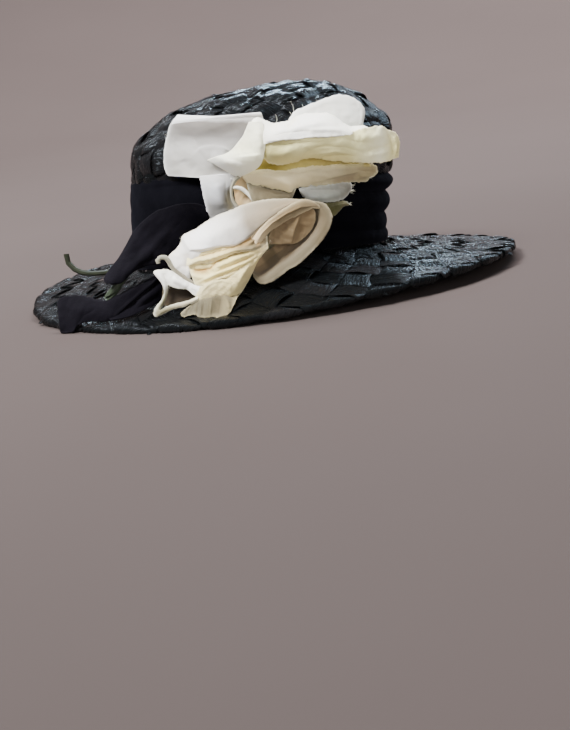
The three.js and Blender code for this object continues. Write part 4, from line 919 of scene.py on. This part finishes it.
petal("petal_outer", "rose_lower_outer", M["outer"],
      [(169, 262, -121), (168.2, 258, -120.6), (169.8, 255, -120.4), (175.4, 249.4, -120.2), (181.2, 242.3, -119.8), (181.4, 238.6, -119.2), (184, 234.6, -118.6), (194.4, 229.6, -117.2), (202, 224.6, -116), (209.4, 219.8, -115), (217.7, 215.2, -113.6), (227.6, 211.6, -112), (237.6, 207.2, -110), (246, 204.2, -108.6), (254.1, 201.8, -107.4), (266, 199.8, -106.4), (278, 198.8, -105.4), (288.6, 198.8, -104.6), (303.5, 199.7, -103.4)],
      [(178, 277, -124.5), (184, 279.5, -126.4), (190, 279, -128), (192, 270, -129), (198, 262, -130), (206, 257, -130.4), (216, 252, -130.4), (228, 250, -129.6), (238, 248, -128), (246, 243, -126.4), (252, 238, -124.8), (259, 231.6, -122.6), (266, 226, -120.6), (273, 220.6, -118.4), (281, 215, -115.6), (289, 209.4, -112.4), (296, 205.4, -109.6), (304.5, 202, -106)],
      bow=[2, 4, 7, 9, 9, 9, 8, 6, 4, 2], nu=150, nv=46, seed=112, coarse=0.3, wrinkle=0.05, jag=0.4,
      strokes=[("ridge", [(196, 238), (214, 232), (236, 220), (256, 209)], 2.4, 9, 0),
               ("fold", [(282, 209.5), (270, 217.6), (256, 229.6), (244, 239.6), (235, 244.8), (218, 246), (202, 249.2), (190, 249.6), (185.6, 244.4), (183.4, 238)], 2.4, 7, 0),
               ("hollow", [(186, 252), (188, 262), (186, 270)], -1.4, 3.6, 0.35),
               ("ridge", [(176, 252), (174, 260), (178, 270)], 1.4, 4, 0),
               ("crease", [(268, 212), (284, 204.5), (298, 201)], -0.5, 1.6, 0.3),
               ("hollow", [(240, 230), (254, 220), (270, 208)], -0.5, 7, 0.15)])
petal("petal_roll", None, M["roll"],
      [(247, 240, -126.5), (252, 235, -125.6), (256, 230.6, -124.5), (263, 223.6, -122.4), (271, 217.2, -120.2), (278, 212.4, -118), (285, 208, -115.8), (296.4, 201.6, -111.6), (303.4, 199.4, -109), (311, 200.4, -108), (318, 203, -107.6)],
      [(252, 251, -127.6), (256.4, 249.4, -127.2), (260, 244, -126.4), (265.5, 236.4, -125), (271, 231, -123.6), (278.1, 226, -121.8), (288, 220, -119.2), (299.2, 214.6, -116.2), (306, 211.4, -114), (313.2, 208.3, -111.6), (320.6, 208.6, -109.6)],
      bow=[2, 3, 3, 3, 2, 1], nu=110, nv=32, seed=134, coarse=0.2, wrinkle=0.12, jag=0.5,
      strokes=[("fold", [(316, 205.4), (300, 207.4), (286, 214), (272, 223), (262, 233), (256, 244)], 1.1, 3, 0),
               ("crease", [(258, 235), (270, 223), (286, 212.4), (302, 204.6)], -0.6, 1.4, 0.4),
               ("ridge", [(255, 235), (267, 222.5), (284, 211)], 0.7, 1.4, 0),
               ("crease", [(262, 241), (272, 230), (290, 219)], -0.4, 1.2, 0.4)])
petal("petal_cup", "rose_lower_cup", M["cup"],
      [(298, 200.6, -106), (303.4, 199.9, -107), (310, 200.9, -108), (315.3, 201.6, -108.8), (323.7, 203, -110), (329.3, 208.6, -112), (332.3, 215.2, -114), (331.8, 222, -116), (328.2, 231.3, -118.6), (321.8, 241.3, -121), (313.4, 250.4, -123.6), (304.8, 258.9, -126), (297.8, 265, -128), (289.4, 269.2, -129.2), (281.6, 275, -130.6), (272.5, 281.3, -132), (264.1, 284.4, -132.6), (258.2, 282.8, -132), (253.6, 277.2, -130), (252.6, 270, -127)],
      [(294, 206, -100), (297, 208, -99.5), (299, 210.5, -99.2), (300, 213, -99), (299.6, 217, -99), (298, 221, -99.4), (295, 226, -100), (291, 230, -100.8), (287, 234, -101.8), (283, 238, -103), (278, 242, -104.4), (273, 246, -106), (269, 249.4, -108), (265, 252.4, -110), (261.6, 255.4, -112), (258.6, 258, -114), (256.4, 260.4, -116), (254.4, 262.6, -118), (253, 264.6, -120), (252, 266, -121.6)],
      profile=[(0, -0.6), (0.05, 0.6), (0.14, 1.6), (0.26, 1.8), (0.36, 0.8), (0.5, -2.4), (0.72, -3.6), (1, 0)],
      nu=150, nv=50, seed=113, coarse=0.4, wrinkle=0.10, jag=0.35,
      # painted shade: the first stroke has no height and only darkens the cup's rim at the right; the second deepens
      # the cavity's shade
      strokes=[("hollow", [(314, 205), (323, 214), (324, 232), (316, 252)], 0, 6.5, 0.75), ("hollow", [(262, 262), (268, 258), (278, 252)], -1.0, 9, 0.9),
               ("crease", [(319, 212), (318.6, 220), (312.6, 229.6), (304.6, 240), (295, 251.4), (284, 261), (272, 267.6), (258, 273.4)], -0.8, 1.4, 0.35),
               ("ridge", [(327, 214), (326, 222), (318, 235), (306, 248), (290, 260), (272, 272)], 0.7, 2.6, 0)])
petal("petal_inner", "rose_lower_inner", M["inner"],
      [(309, 206.6, -109.6), (314.4, 210.6, -110.2), (315.4, 219, -111), (312, 228.4, -112.6), (304.4, 237.4, -114.4), (295, 243.4, -116.4), (287, 244, -117.4)],
      [(284, 213.5, -114), (280, 218.5, -116), (275, 224, -117.6), (270.8, 231, -119), (268.4, 237, -120), (268.6, 241.5, -120.6), (269.8, 244.4, -120.8)],
      bow=1.5, nu=64, nv=48, seed=114, coarse=0.3, wrinkle=0.14, jag=0.4,
      strokes=[("fold", [(300.6, 214), (297.6, 222), (294.4, 231.5), (292, 241)], 2.4, 7, 0),
               ("hollow", [(302, 224), (300, 233)], -0.8, 5, 0.5),
               ("hollow", [(284, 222), (281, 232)], -1.0, 4.5, 0.3),
               ("ridge", [(276, 229), (274, 238)], 0.7, 2.6, 0),
               ("crease", [(286, 218), (285, 228), (287, 240)], -0.4, 1.5, 0.3)])
petal("petal_fold_1", "rose_lower_fold_1", M["fold"],
      [(187, 256.5, -127.6), (194, 252, -128.8), (202, 249.4, -129.6), (210, 247.4, -130), (219, 245.6, -130), (228, 245, -129.6), (236, 243.8, -128.6), (243, 239.6, -127), (250, 233.6, -125), (258, 227.5, -122.6), (266, 224.6, -120.6)],
      [(186.4, 266.6, -131), (192, 264.4, -132.2), (198, 263.4, -133.2), (206, 263.6, -134), (212, 262.6, -134.6), (219, 259.6, -135), (226, 256.6, -134.8), (235, 253.4, -134), (245, 251.4, -132), (256, 250.4, -129), (268, 245, -125.4)],
      bow=[1, 2, 2, 2, 2, 1], nu=110, nv=36, seed=115, coarse=0.3, wrinkle=0.22, jag=0.5,
      strokes=[("ridge", [(187, 264.6), (198, 260.8), (210.2, 258.6), (222.6, 254.4), (235.1, 250.4), (251.6, 248.6), (264, 243.6)], 1.8, 2.2, 0),
               ("crease", [(190, 259.6), (204, 255.6), (220, 251.4), (236, 247.2), (250, 243)], -1.0, 1.6, 0.45),
               ("ridge", [(196, 254), (212, 251.6), (230, 247.6)], 0.8, 2, 0),
               ("hollow", [(240, 244), (252, 236), (262, 230)], -0.9, 3.4, 0.5),
               ("ridge", [(246, 246), (256, 238.5), (266, 231)], 0.8, 1.4, 0),
               ("crease", [(256, 247), (262, 240), (267, 233)], -0.7, 1.0, 0.5)])
petal("petal_fold_2", "rose_lower_fold_2", M["fold2"],
      [(186.4, 262, -128.2), (194, 260.6, -129.4), (202, 259.4, -130.6), (210, 257.4, -131.4), (217, 254.6, -131.8), (225, 251.6, -131.6), (234, 249, -130.6), (244, 247, -128.8), (254, 244.6, -126.6), (262, 241.6, -124.8), (267, 240.4, -123.6)],
      [(194.6, 284, -132), (199, 286, -133), (204, 285, -134.6), (212, 281.6, -136), (221, 278.6, -136.8), (232, 275.5, -136.6), (241, 272, -135.4), (248, 268.5, -133.4), (254, 264.5, -131), (260, 257.5, -128.6), (268.4, 248, -126)],
      bow=[1, 2, 3, 3, 2, 1], nu=116, nv=44, seed=116, coarse=0.3, wrinkle=0.24, jag=0.5,
      strokes=[("crease", [(189, 269), (198, 270.6), (210.2, 269), (216, 262.6), (226, 256.4), (240, 252.8), (252, 251)], -1.8, 1.8, 0.9),
               ("hollow", [(192, 270.6), (202, 272.4), (210, 271.6)], -1.2, 2.6, 0.45),
               ("ridge", [(214, 268.4), (226.8, 262.6), (243.4, 256), (256, 252)], 1.7, 2.4, 0),
               ("crease", [(214, 273.4), (226, 267.8), (240, 262), (254, 256)], -0.9, 1.1, 0.45),
               ("ridge", [(200, 281.8), (214.3, 275), (230.9, 268.8), (243.4, 263.6), (256, 257)], 1.4, 1.6, 0),
               ("crease", [(206, 281.4), (220, 275.6), (236, 270), (250, 263.6)], -0.7, 0.9, 0.45),
               ("ridge", [(212, 281), (228, 275.6), (244, 268.6)], 0.9, 1.3, 0),
               ("ridge", [(190, 274), (198, 277.6), (206, 277)], 0.9, 2.0, 0)])
petal("petal_fold_3", None, M["fold3"],
      [(195.6, 297, -133.4), (197.6, 291, -134), (201.4, 286, -134.6), (207, 281.6, -135.2), (214, 278, -135.8), (224, 275.4, -136), (236, 269.6, -135.4), (246, 262.6, -133.4), (256, 255.4, -130), (266, 247.6, -126.4)],
      [(196.6, 302, -135.4), (202, 301.6, -136.4), (208, 301, -137.4), (214.3, 300, -138), (222, 299.6, -138), (231, 300.6, -136.6), (239.4, 294.8, -134), (246, 284.8, -132), (251.8, 273.8, -130), (257, 262, -127.6)],
      bow=[1, 3, 5, 6, 5, 3, 1], nu=100, nv=44, seed=135, coarse=0.3, wrinkle=0.2, jag=0.3,
      strokes=[("fold", [(238, 288), (235, 283.4), (230, 280.4), (222.6, 278.9), (213, 280.2), (206, 284.6), (201, 290.6), (198.8, 296)], -1.8, 7, 0),
               ("ridge", [(200.4, 294), (206, 286.6), (213, 282), (222.6, 280.6), (231, 282.6)], 0.8, 1.4, 0),
               ("crease", [(208, 279.6), (222, 276.6), (234, 277.6), (242, 281)], -0.8, 1.3, 0.5),
               ("hollow", [(243, 280), (250, 268), (255, 259)], -0.8, 3, 0.4),
               ("ridge", [(236, 287), (243, 275), (250, 263)], 1.0, 2.2, 0),
               ("crease", [(240, 292), (246.4, 281), (252, 270)], -0.5, 1.4, 0.35),
               ("hollow", [(206, 293), (220, 288.6), (232, 290)], -0.6, 4, 0.22)])
petal("petal_ruffle_2", "rose_lower_ruffle_2", M["ruffle"],
      [(195.6, 300.6, -134.4), (199.4, 298.4, -135), (206, 296.8, -136.2), (212, 295.4, -137.4), (217, 293.4, -138), (221, 292.4, -138.2), (228, 293, -137.6), (235, 293.8, -135.4), (240, 292, -133.4)],
      [(180.2, 313.4, -139), (183, 317, -139.4), (190, 315.4, -142), (196.4, 314.8, -144.6), (199.4, 317.8, -147), (208.5, 318, -151), (216, 318.2, -154), (222, 317.4, -156), (227, 315, -154.6), (230.4, 311.8, -152), (233.6, 305.2, -148)],
      bow=[1, 2, 2, 2, 1], nu=110, nv=40, seed=118, coarse=0.25, wrinkle=0.22, frill=0.4, jag=0.5,
      strokes=[("ridge", [(200.8, 299), (200.2, 308), (199.8, 318)], 1.5, 1.6, 0), ("crease", [(198.6, 301), (197.8, 308), (196.6, 315)], -1.0, 1.2, 0.5),
               ("ridge", [(208.6, 297.6), (207, 308), (206, 318)], 1.0, 2.0, 0), ("crease", [(204.4, 298.6), (203.4, 308), (203, 317)], -0.7, 1.2, 0.35),
               ("hollow", [(218.6, 296), (216.4, 306), (214.4, 316)], -1.8, 3.6, 0.62),
               ("ridge", [(211.6, 297), (210.8, 308), (210, 317)], 0.8, 1.2, 0),
               ("crease", [(221.4, 296), (220, 306), (218.6, 316)], -0.9, 1.2, 0.4),
               ("ridge", [(224, 294.6), (227.4, 301), (230, 309.6)], 1.6, 2.0, 0),
               ("crease", [(231, 296), (231.6, 301)], -0.7, 1.4, 0.3),
               ("ridge", [(190, 305), (186, 311), (183, 316)], 0.8, 2.4, 0), ("crease", [(194.6, 303.6), (190.6, 312)], -0.6, 1.3, 0.4)])
# painted shade: a near-black sheet set behind the shell's lip, standing for the shade in its hollow
petal("petal_shell_shade_sheet", None, M["hollow"],
      [(163, 280, -126.4), (170, 282, -127), (180, 285, -127.4), (192, 291, -128.4), (199, 297, -129.6)],
      [(161.6, 306, -127.6), (168, 305.6, -128.4), (178, 304.4, -129.4), (188, 302.4, -130.6), (198, 299.5, -131.6)],
      bow=-1.5, nu=40, nv=26, seed=136, coarse=0.3)
petal("petal_ruffle_1", "rose_lower_ruffle_1", M["shell"],
      [(202, 283.6, -131.6), (195, 283.4, -131), (186.4, 280.4, -129.8), (178.6, 275.6, -128.6), (172.4, 271.6, -127.8), (166.4, 269.2, -127.4), (160.6, 269.8, -127.6), (154, 271.8, -128), (155.4, 275.4, -128.4), (160, 280.6, -129), (163.2, 287, -129.8), (164, 293, -130.6), (161.4, 300.3, -131.6), (155.4, 308.2, -132.6), (153.8, 314.2, -133.4), (156.3, 316.9, -134.2), (164.6, 313.2, -135), (172.9, 309.3, -136), (184, 306.6, -137), (198, 300.4, -137)],
      [(200, 299.5, -134.4), (193.6, 294.6, -133.6), (187, 289.6, -132.6), (182, 288.8, -132), (177, 288.4, -131.6), (173, 287.2, -131.2), (170, 285.8, -131), (168.4, 284.6, -131), (168.2, 285.6, -131), (168.4, 287.4, -131.0), (168.2, 290.4, -131.2), (167.6, 294, -131.4), (165.8, 300, -132), (162.6, 305.6, -132.8), (159.6, 310, -133.4), (160.6, 311.4, -134.2), (166.6, 306.6, -135), (175.4, 303.9, -135.4), (186.4, 301.2, -136), (198, 296.6, -136)],
      bow=1.4, nu=170, nv=26, seed=117, coarse=0.25, wrinkle=0.14, jag=0.55, frill=0.3,
      strokes=[("crease", [(162.4, 272), (166, 280), (168, 286)], -0.8, 1.6, 0.2),
               ("ridge", [(172, 277), (180, 282.6), (189, 286.6)], 1.4, 3, 0),
               # painted shadow: this stroke darkens the inner side of the shell's rim
               ("ridge", [(169.5, 285), (168.6, 292), (166.8, 299), (163, 305.6), (159.6, 310)], -1.2, 2.6, 0.95),
               ("ridge", [(158.6, 273.6), (162.6, 280), (166, 288)], 0.8, 1.6, 0),
               ("crease", [(190, 288.4), (196, 291.6), (199, 296)], -0.6, 1.4, 0.35)])
petal("petal_curl", "rose_lower_curl", M["curl"],
      [(156.8, 264, -122.4), (155.8, 260.4, -122.4), (158.6, 256.6, -122.8), (162.4, 255.2, -123.4), (166.4, 255.6, -124), (169.4, 258.6, -124.6), (171.8, 262.8, -125.4), (176.4, 268.4, -126.8), (185, 275.6, -128.8), (195.6, 283, -130.8)],
      [(160, 263.2, -123), (159.9, 261.2, -123.2), (161.2, 259.8, -123.6), (163.2, 259.6, -124), (165.4, 260.4, -124.6), (167.4, 263.4, -125.2), (169.6, 267.2, -126), (174.2, 272, -127.4), (182.6, 278.8, -129.4), (194.6, 285.2, -131.4)],
      bow=1.1, nu=80, nv=14, seed=119, coarse=0.15, wrinkle=0.08, jag=0.3,
      strokes=[("crease", [(162, 257.6), (167, 261), (173, 268.4), (184, 277.4)], -0.5, 1.0, 0.3)])


# frayed threads at the cut edges of the cloth: start, end (place and depth), bend in pixels
def threads():
    g = np.random.default_rng(77)
    rows = [((276.4, 122.8, -106.4), (275.2, 114.2, -104), 1.2), ((293.2, 113.5, -96), (290.4, 101.5, -92), 1.6),
            ((291.6, 116, -98), (289.4, 112, -97), 0.6), ((293.4, 114.6, -97), (290.6, 119, -99), 0.5),
            ((303.4, 107.4, -90), (301.6, 104.6, -89), 0.4), ((316.6, 102.4, -84.4), (316.4, 99.6, -83.6), 0.3),
            ((167.2, 135.6, -67), (164.6, 134.6, -66.6), 0.4), ((166.8, 137.6, -67), (164.2, 138.6, -66.6), 0.3),
            ((181.6, 239.2, -119.4), (179.4, 238.6, -119), 0.3), ((182, 240.6, -119.6), (179.8, 241.2, -119.2), 0.3),
            ((170.2, 285.6, -131), (169.8, 288.4, -131.4), 0.3), ((268.8, 244, -125.4), (270.2, 239.8, -125), 0.4),
            ((267.2, 244.6, -125.6), (267.6, 240.4, -125.2), 0.4)]
    for k in range(16):   # the ragged right end of the small petal
        y0 = 184 + 9 * g.random()
        rows.append(((349.6 + g.random(), y0, -91), (352.5 + 3.4 * g.random(), y0 + 3.5 * (g.random() - 0.5), -90), 0.9 * (g.random() - 0.5)))
    for k in range(9):    # the ends of the lower petal and the sepal
        y0 = 168 + 11 * g.random()
        rows.append(((375 - 0.8 * abs(y0 - 170) + g.random(), y0, -88), (377.6 - 0.8 * abs(y0 - 170) + 2 * g.random(), y0 + 2 * (g.random() - 0.5), -87), 0.5))
    for k in range(7):
        rows.append(((347.6 + g.random(), 203 + 1.5 * g.random(), -89.4), (350.4 + 2 * g.random(), 202 + 4 * g.random(), -88.6), 0.4))
    verts, faces, uvs, start = [], [], [], 0
    n = 6
    for p0, p1, bend in rows:
        p0, p1 = np.array(p0), np.array(p1)
        d = p1[:2] - p0[:2]
        side = np.array([-d[1], d[0]]) / max(np.hypot(*d), 1e-6)
        k = np.linspace(0, 1, n)
        X = p0[None] * (1 - k[:, None]) + p1[None] * k[:, None]
        X[:, :2] += side * (bend * np.sin(math.pi * k))[:, None]
        C = at_many(X)
        T = unit(np.gradient(C, axis=0))
        a = unit(np.cross(T, np.array([0.3, 1.0, 0.2])))
        b = np.cross(T, a)
        r = 0.11 * (1 - 0.6 * k)
        ang = np.array([0, 2.0944, 4.1888])
        ring = C[:, None] + (a[:, None] * np.cos(ang)[None, :, None] + b[:, None] * np.sin(ang)[None, :, None]) * r[:, None, None]
        verts.append(ring.reshape(-1, 3))
        faces.append(grid_faces(n, 3, False, True, start))
        uvs.append(np.zeros((n * 3, 2)))
        start += n * 3
    ob = mesh_object("frayed_threads", np.concatenate(verts), np.concatenate(faces), np.concatenate(uvs))
    # close both ends of each thread
    import bmesh
    bm = bmesh.new(); bm.from_mesh(ob.data)
    bmesh.ops.holes_fill(bm, edges=[e for e in bm.edges if e.is_boundary], sides=4)
    bmesh.ops.recalc_face_normals(bm, faces=bm.faces)
    bm.to_mesh(ob.data); bm.free()
    # the threads take the full cut-edge tint, partly painted highlight, and no painted shade
    add_float(ob, "shade_and_dark_tone", np.zeros(len(ob.data.vertices))); add_float(ob, "edge", np.ones(len(ob.data.vertices)))
    ob.data.materials.append(M["top"])
    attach(ob, "root")


threads()
# ------------------------------------------------------------------ velvet leaves
# painted shade: the root colour darkens the leaf towards where it passes under the roses
leaf_mat = velvet_material("leaf_velvet", (0.0026, 0.0024, 0.0034), (0.0052, 0.0047, 0.0068), 0.045, (0.46, 0.44, 0.54), root=(0.0006, 0.0005, 0.0009))
LEAF = dict(thick=1.0, slot="leaf_velvet", coarse=0.4, wrinkle=0.14)
petal("velvet_leaf_upper", "leaf_upper", leaf_mat,
      [(207, 207, -92), (198, 204.4, -91), (188, 203.6, -90.4), (176, 205, -90.2), (164, 208.8, -90.6), (155.2, 212, -91), (142.4, 222.1, -91.6), (133.5, 232.3, -92.2), (125.9, 246.3, -93.6), (118.2, 259.1, -95.6), (110.6, 268.4, -98), (105.4, 276.4, -100.4), (104.4, 280, -101.6), (106.6, 283.4, -103)],
      [(210, 224, -98), (204, 232, -100), (194, 241, -103), (187, 250, -105.4), (178, 260, -107), (166, 266.6, -108.4), (155.2, 264.6, -108.6), (146, 266, -109.4), (138, 268.8, -110.4), (129.7, 275, -111.4), (122, 282.4, -111.6), (113, 284.4, -108.6)],
      bow=[3, 5, 6, 6, 5, 3], nu=120, nv=44, seed=120,
      strokes=[("ridge", [(176, 226), (154, 247.6), (142, 259), (130, 270), (118, 279)], 2.0, 4.6, 0),
               ("hollow", [(168, 222), (148, 242), (130, 262)], -1.8, 4, 0),
               ("ridge", [(158, 214), (142, 228), (132, 243), (122, 259)], 1.4, 3.4, 0),
               ("crease", [(160, 256), (146, 262), (132, 272)], -1.2, 2.4, 0),
               ("crease", [(188, 214), (168, 236), (156, 250)], -0.8, 2.6, 0)], **LEAF)
petal("velvet_leaf_under", "leaf_under", leaf_mat,
      [(172, 262, -105), (164, 268, -105.4), (154, 276, -104.6), (146, 281, -103.6), (136, 289, -102.2), (126, 297, -101.4), (118, 304, -101.4), (108, 311, -103)],
      [(172, 296, -115.4), (165, 292, -114), (163.6, 297, -116), (157, 303, -117), (146, 309, -117.6), (134.8, 314.6, -118.6), (122, 318.6, -119.6), (110, 320.6, -118.6)],
      bow=[3, 4, 4, 3, 1], nu=90, nv=34, seed=121,
      strokes=[("ridge", [(163, 284), (156, 291), (146, 298), (134, 305)], 1.7, 3, 0), ("hollow", [(160, 277), (148, 288), (134, 299)], -1.2, 3, 0),
               ("crease", [(162, 294), (150, 302), (136, 309)], -0.9, 2, 0)], **LEAF)
petal("velvet_leaf_lower", "leaf_lower", leaf_mat,
      [(172, 263, -108), (164, 270, -108.4), (155.2, 279.6, -108.4), (145, 283.2, -107.6), (132.2, 287.6, -106), (119.5, 294.6, -103.6), (108, 299.8, -100.6), (99.1, 300.2, -98), (88, 297.4, -94), (77.4, 296, -90), (66, 296.6, -86.4), (60.6, 298.4, -84.8), (57.4, 303.4, -85.2)],
      [(166, 276, -112.4), (159, 280, -113), (152.7, 284.6, -113.6), (141.2, 294.4, -114.6), (128.4, 305.6, -115.4), (114.4, 318, -115.8), (107, 321.6, -115), (97, 321.4, -113.4), (86.3, 322.2, -111), (77, 326, -108.6), (72, 333, -107.6), (66, 336.6, -106.4), (60.4, 332.6, -104.4)],
      bow=[2, 3, 3, 4, 5, 5, 4, 2], nu=130, nv=44, seed=122, jag=0.7, frill=0.3,
      strokes=[("ridge", [(152, 284.2), (140, 294), (127.6, 304.6), (115, 316)], 1.6, 1.6, 0),
               ("hollow", [(146, 287), (132, 297), (118, 307), (104, 312)], -1.8, 4.4, 0),
               ("ridge", [(140, 286), (124, 294.6), (108, 302), (84, 300)], 1.2, 2.6, 0),
               ("ridge", [(66, 304), (74, 308), (86, 312)], 1.6, 6, 0),
               ("crease", [(60, 300), (62, 314), (66, 330)], 0.9, 2.4, 0),
               ("crease", [(76, 326), (84, 316), (98, 308)], -1.2, 3, 0)], **LEAF)
# ------------------------------------------------------------------ stems and the roses' hearts: the CAD solids with their own finish
def rubber_material(name, a, b):
    m, nt, p = material(name)
    co = node(nt, "ShaderNodeTexCoord")
    n1 = node(nt, "ShaderNodeTexNoise"); n1.inputs["Scale"].default_value = 160.0; n1.inputs["Detail"].default_value = 4.0
    nt.links.new(co.outputs["Object"], n1.inputs["Vector"])
    c = ramp(nt, n1.outputs["Fac"], [(0.3, a), (0.7, b)])
    nt.links.new(c.outputs[0], p.inputs["Base Color"])
    bp = node(nt, "ShaderNodeBump"); bp.inputs["Strength"].default_value = 0.4; bp.inputs["Distance"].default_value = 0.0003
    nt.links.new(n1.outputs["Fac"], bp.inputs["Height"]); nt.links.new(bp.outputs[0], p.inputs["Normal"])
    p.inputs["Roughness"].default_value = 0.55
    return m


stem_mat = rubber_material("stem_rubber", (0.0135, 0.0162, 0.0105), (0.0225, 0.026, 0.017))
stub_mat = rubber_material("stub_rubber", (0.024, 0.032, 0.022), (0.037, 0.047, 0.031))
heart_mat = rubber_material("heart_cloth", (0.40, 0.40, 0.24), (0.52, 0.50, 0.32))
for n, m in (("stem_long", stem_mat), ("stem_short", stub_mat), ("rose_upper_heart", heart_mat), ("rose_lower_heart", heart_mat)):
    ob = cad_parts[n]
    if not ob.material_slots:
        ob.data.materials.append(m)
    for s in ob.material_slots:
        s.material = m


# ------------------------------------------------------------------ stage and lights
def make_stage():
    prof = []
    for r in np.linspace(0, 1.6, 8):
        prof.append((r, 0.0))
    for a in np.linspace(0, 1, 26)[1:]:
        ang = a * math.radians(84)
        prof.append((1.6 + 4.2 * math.sin(ang), 4.2 * (1 - math.cos(ang)) * 0.9))
    prof = np.array(prof)
    n = 96
    t = np.linspace(0, 2 * math.pi, n, endpoint=False)
    V = np.stack([prof[1:, None, 0] * np.cos(t), prof[1:, None, 0] * np.sin(t), np.broadcast_to(prof[1:, None, 1], (len(prof) - 1, n))], -1)
    verts = np.concatenate([[[0, 0, 0]], V.reshape(-1, 3)]) / MM
    faces = grid_faces(len(prof) - 1, n, False, True, start=1)
    ob = mesh_object("stage", verts, faces[:, ::-1])
    fan = [[0, 1 + j, 1 + (j + 1) % n] for j in range(n)]
    me = ob.data
    base = mesh_object("stage_middle", verts, np.array(fan))
    m, nt, p = material("stage_pale")
    co = node(nt, "ShaderNodeTexCoord")
    n1 = node(nt, "ShaderNodeTexNoise"); n1.inputs["Scale"].default_value = 1.2; n1.inputs["Detail"].default_value = 4.0
    nt.links.new(co.outputs["Object"], n1.inputs["Vector"])
    c = ramp(nt, n1.outputs["Fac"], [(0.3, (0.072, 0.0592, 0.0576)), (0.7, (0.079, 0.0652, 0.0636))])
    sep = node(nt, "ShaderNodeSeparateXYZ"); nt.links.new(co.outputs["Object"], sep.inputs[0])
    # the floor's colour is darker towards the front: at y = -0.9 m it is 0.6 of itself, from y = 0.5 m on it is full
    near = node(nt, "ShaderNodeMapRange"); near.inputs["From Min"].default_value = -0.9; near.inputs["From Max"].default_value = 0.5
    near.inputs["To Min"].default_value = 0.60; near.inputs["To Max"].default_value = 1.0
    nt.links.new(sep.outputs[1], near.inputs[0])
    dim = node(nt, "ShaderNodeVectorMath", operation="SCALE")
    nt.links.new(c.outputs[0], dim.inputs[0]); nt.links.new(near.outputs[0], dim.inputs["Scale"])
    nt.links.new(dim.outputs[0], p.inputs["Base Color"])
    p.inputs["Roughness"].default_value = 0.9
    p.inputs["Specular IOR Level"].default_value = 0.03
    for o in (ob, base):
        o.data.materials.append(m)


make_stage()


def area_light(name, where, target, size, power, color, gloss=False, diffuse=True):
    d = bpy.data.lights.new(name, "AREA")
    d.shape = "RECTANGLE"; d.size, d.size_y = size
    d.energy = power; d.color = color
    o = bpy.data.objects.new(name, d)
    bpy.context.collection.objects.link(o)
    o.location = where
    o.visible_camera = False
    o.visible_glossy = gloss
    o.visible_diffuse = diffuse
    o.rotation_euler = (Vector(target) - Vector(where)).to_track_quat("-Z", "Y").to_euler()
    return o


# windows behind the hat give the straw its bluish streaks; the soft key and the fill light the cloth
area_light("window", (0.16, 2.1, 0.92), (0.0, 0, 0.13), (0.36, 0.12), 12, (0.60, 0.82, 1.0), True, False)
area_light("low_window", (0.80, 2.05, 0.50), (0.10, 0, 0.05), (0.80, 0.20), 0.6, (0.66, 0.84, 1.0), True, False)
area_light("high_window", (0.62, 0.55, 1.90), (0.06, -0.09, 0.03), (0.30, 0.20), 5.5, (0.58, 0.80, 1.0), True, False)
area_light("rim_window", (-0.9, 1.3, 1.7), (-0.08, -0.1, 0.02), (0.24, 0.24), 20, (0.78, 0.88, 1.0), True, False)
area_light("side_window", (1.20, 1.20, 0.92), (0.07, -0.08, 0.03), (0.72, 0.44), 14, (0.58, 0.80, 1.0), True, False)
area_light("key", (-1.25, -1.05, 2.15), (0, 0, 0.08), (0.9, 0.85), 272, (1.0, 0.985, 0.965))
area_light("fill", (0.9, -2.5, 0.62), (0, 0, 0.08), (2.2, 1.2), 64, (1.0, 0.965, 0.94))
area_light("wall", (0.75, 1.4, 3.2), (1.0, 3.6, 0.0), (2.4, 1.2), 520, (1.0, 0.95, 0.94))
world = bpy.data.worlds.new("world")
bpy.context.scene.world = world
world.use_nodes = True
wn = world.node_tree
wco = wn.nodes.new("ShaderNodeTexCoord")
wsep = wn.nodes.new("ShaderNodeSeparateXYZ"); wn.links.new(wco.outputs["Generated"], wsep.inputs[0])
wr = ramp(wn, wsep.outputs[2], [(0.0, (0.40, 0.385, 0.385)), (0.25, (0.34, 0.325, 0.33)), (0.5, (0.22, 0.22, 0.23)), (1.0, (0.30, 0.30, 0.31))])
wn.links.new(wr.outputs[0], wn.nodes["Background"].inputs[0])
wn.nodes["Background"].inputs[1].default_value = 0.75
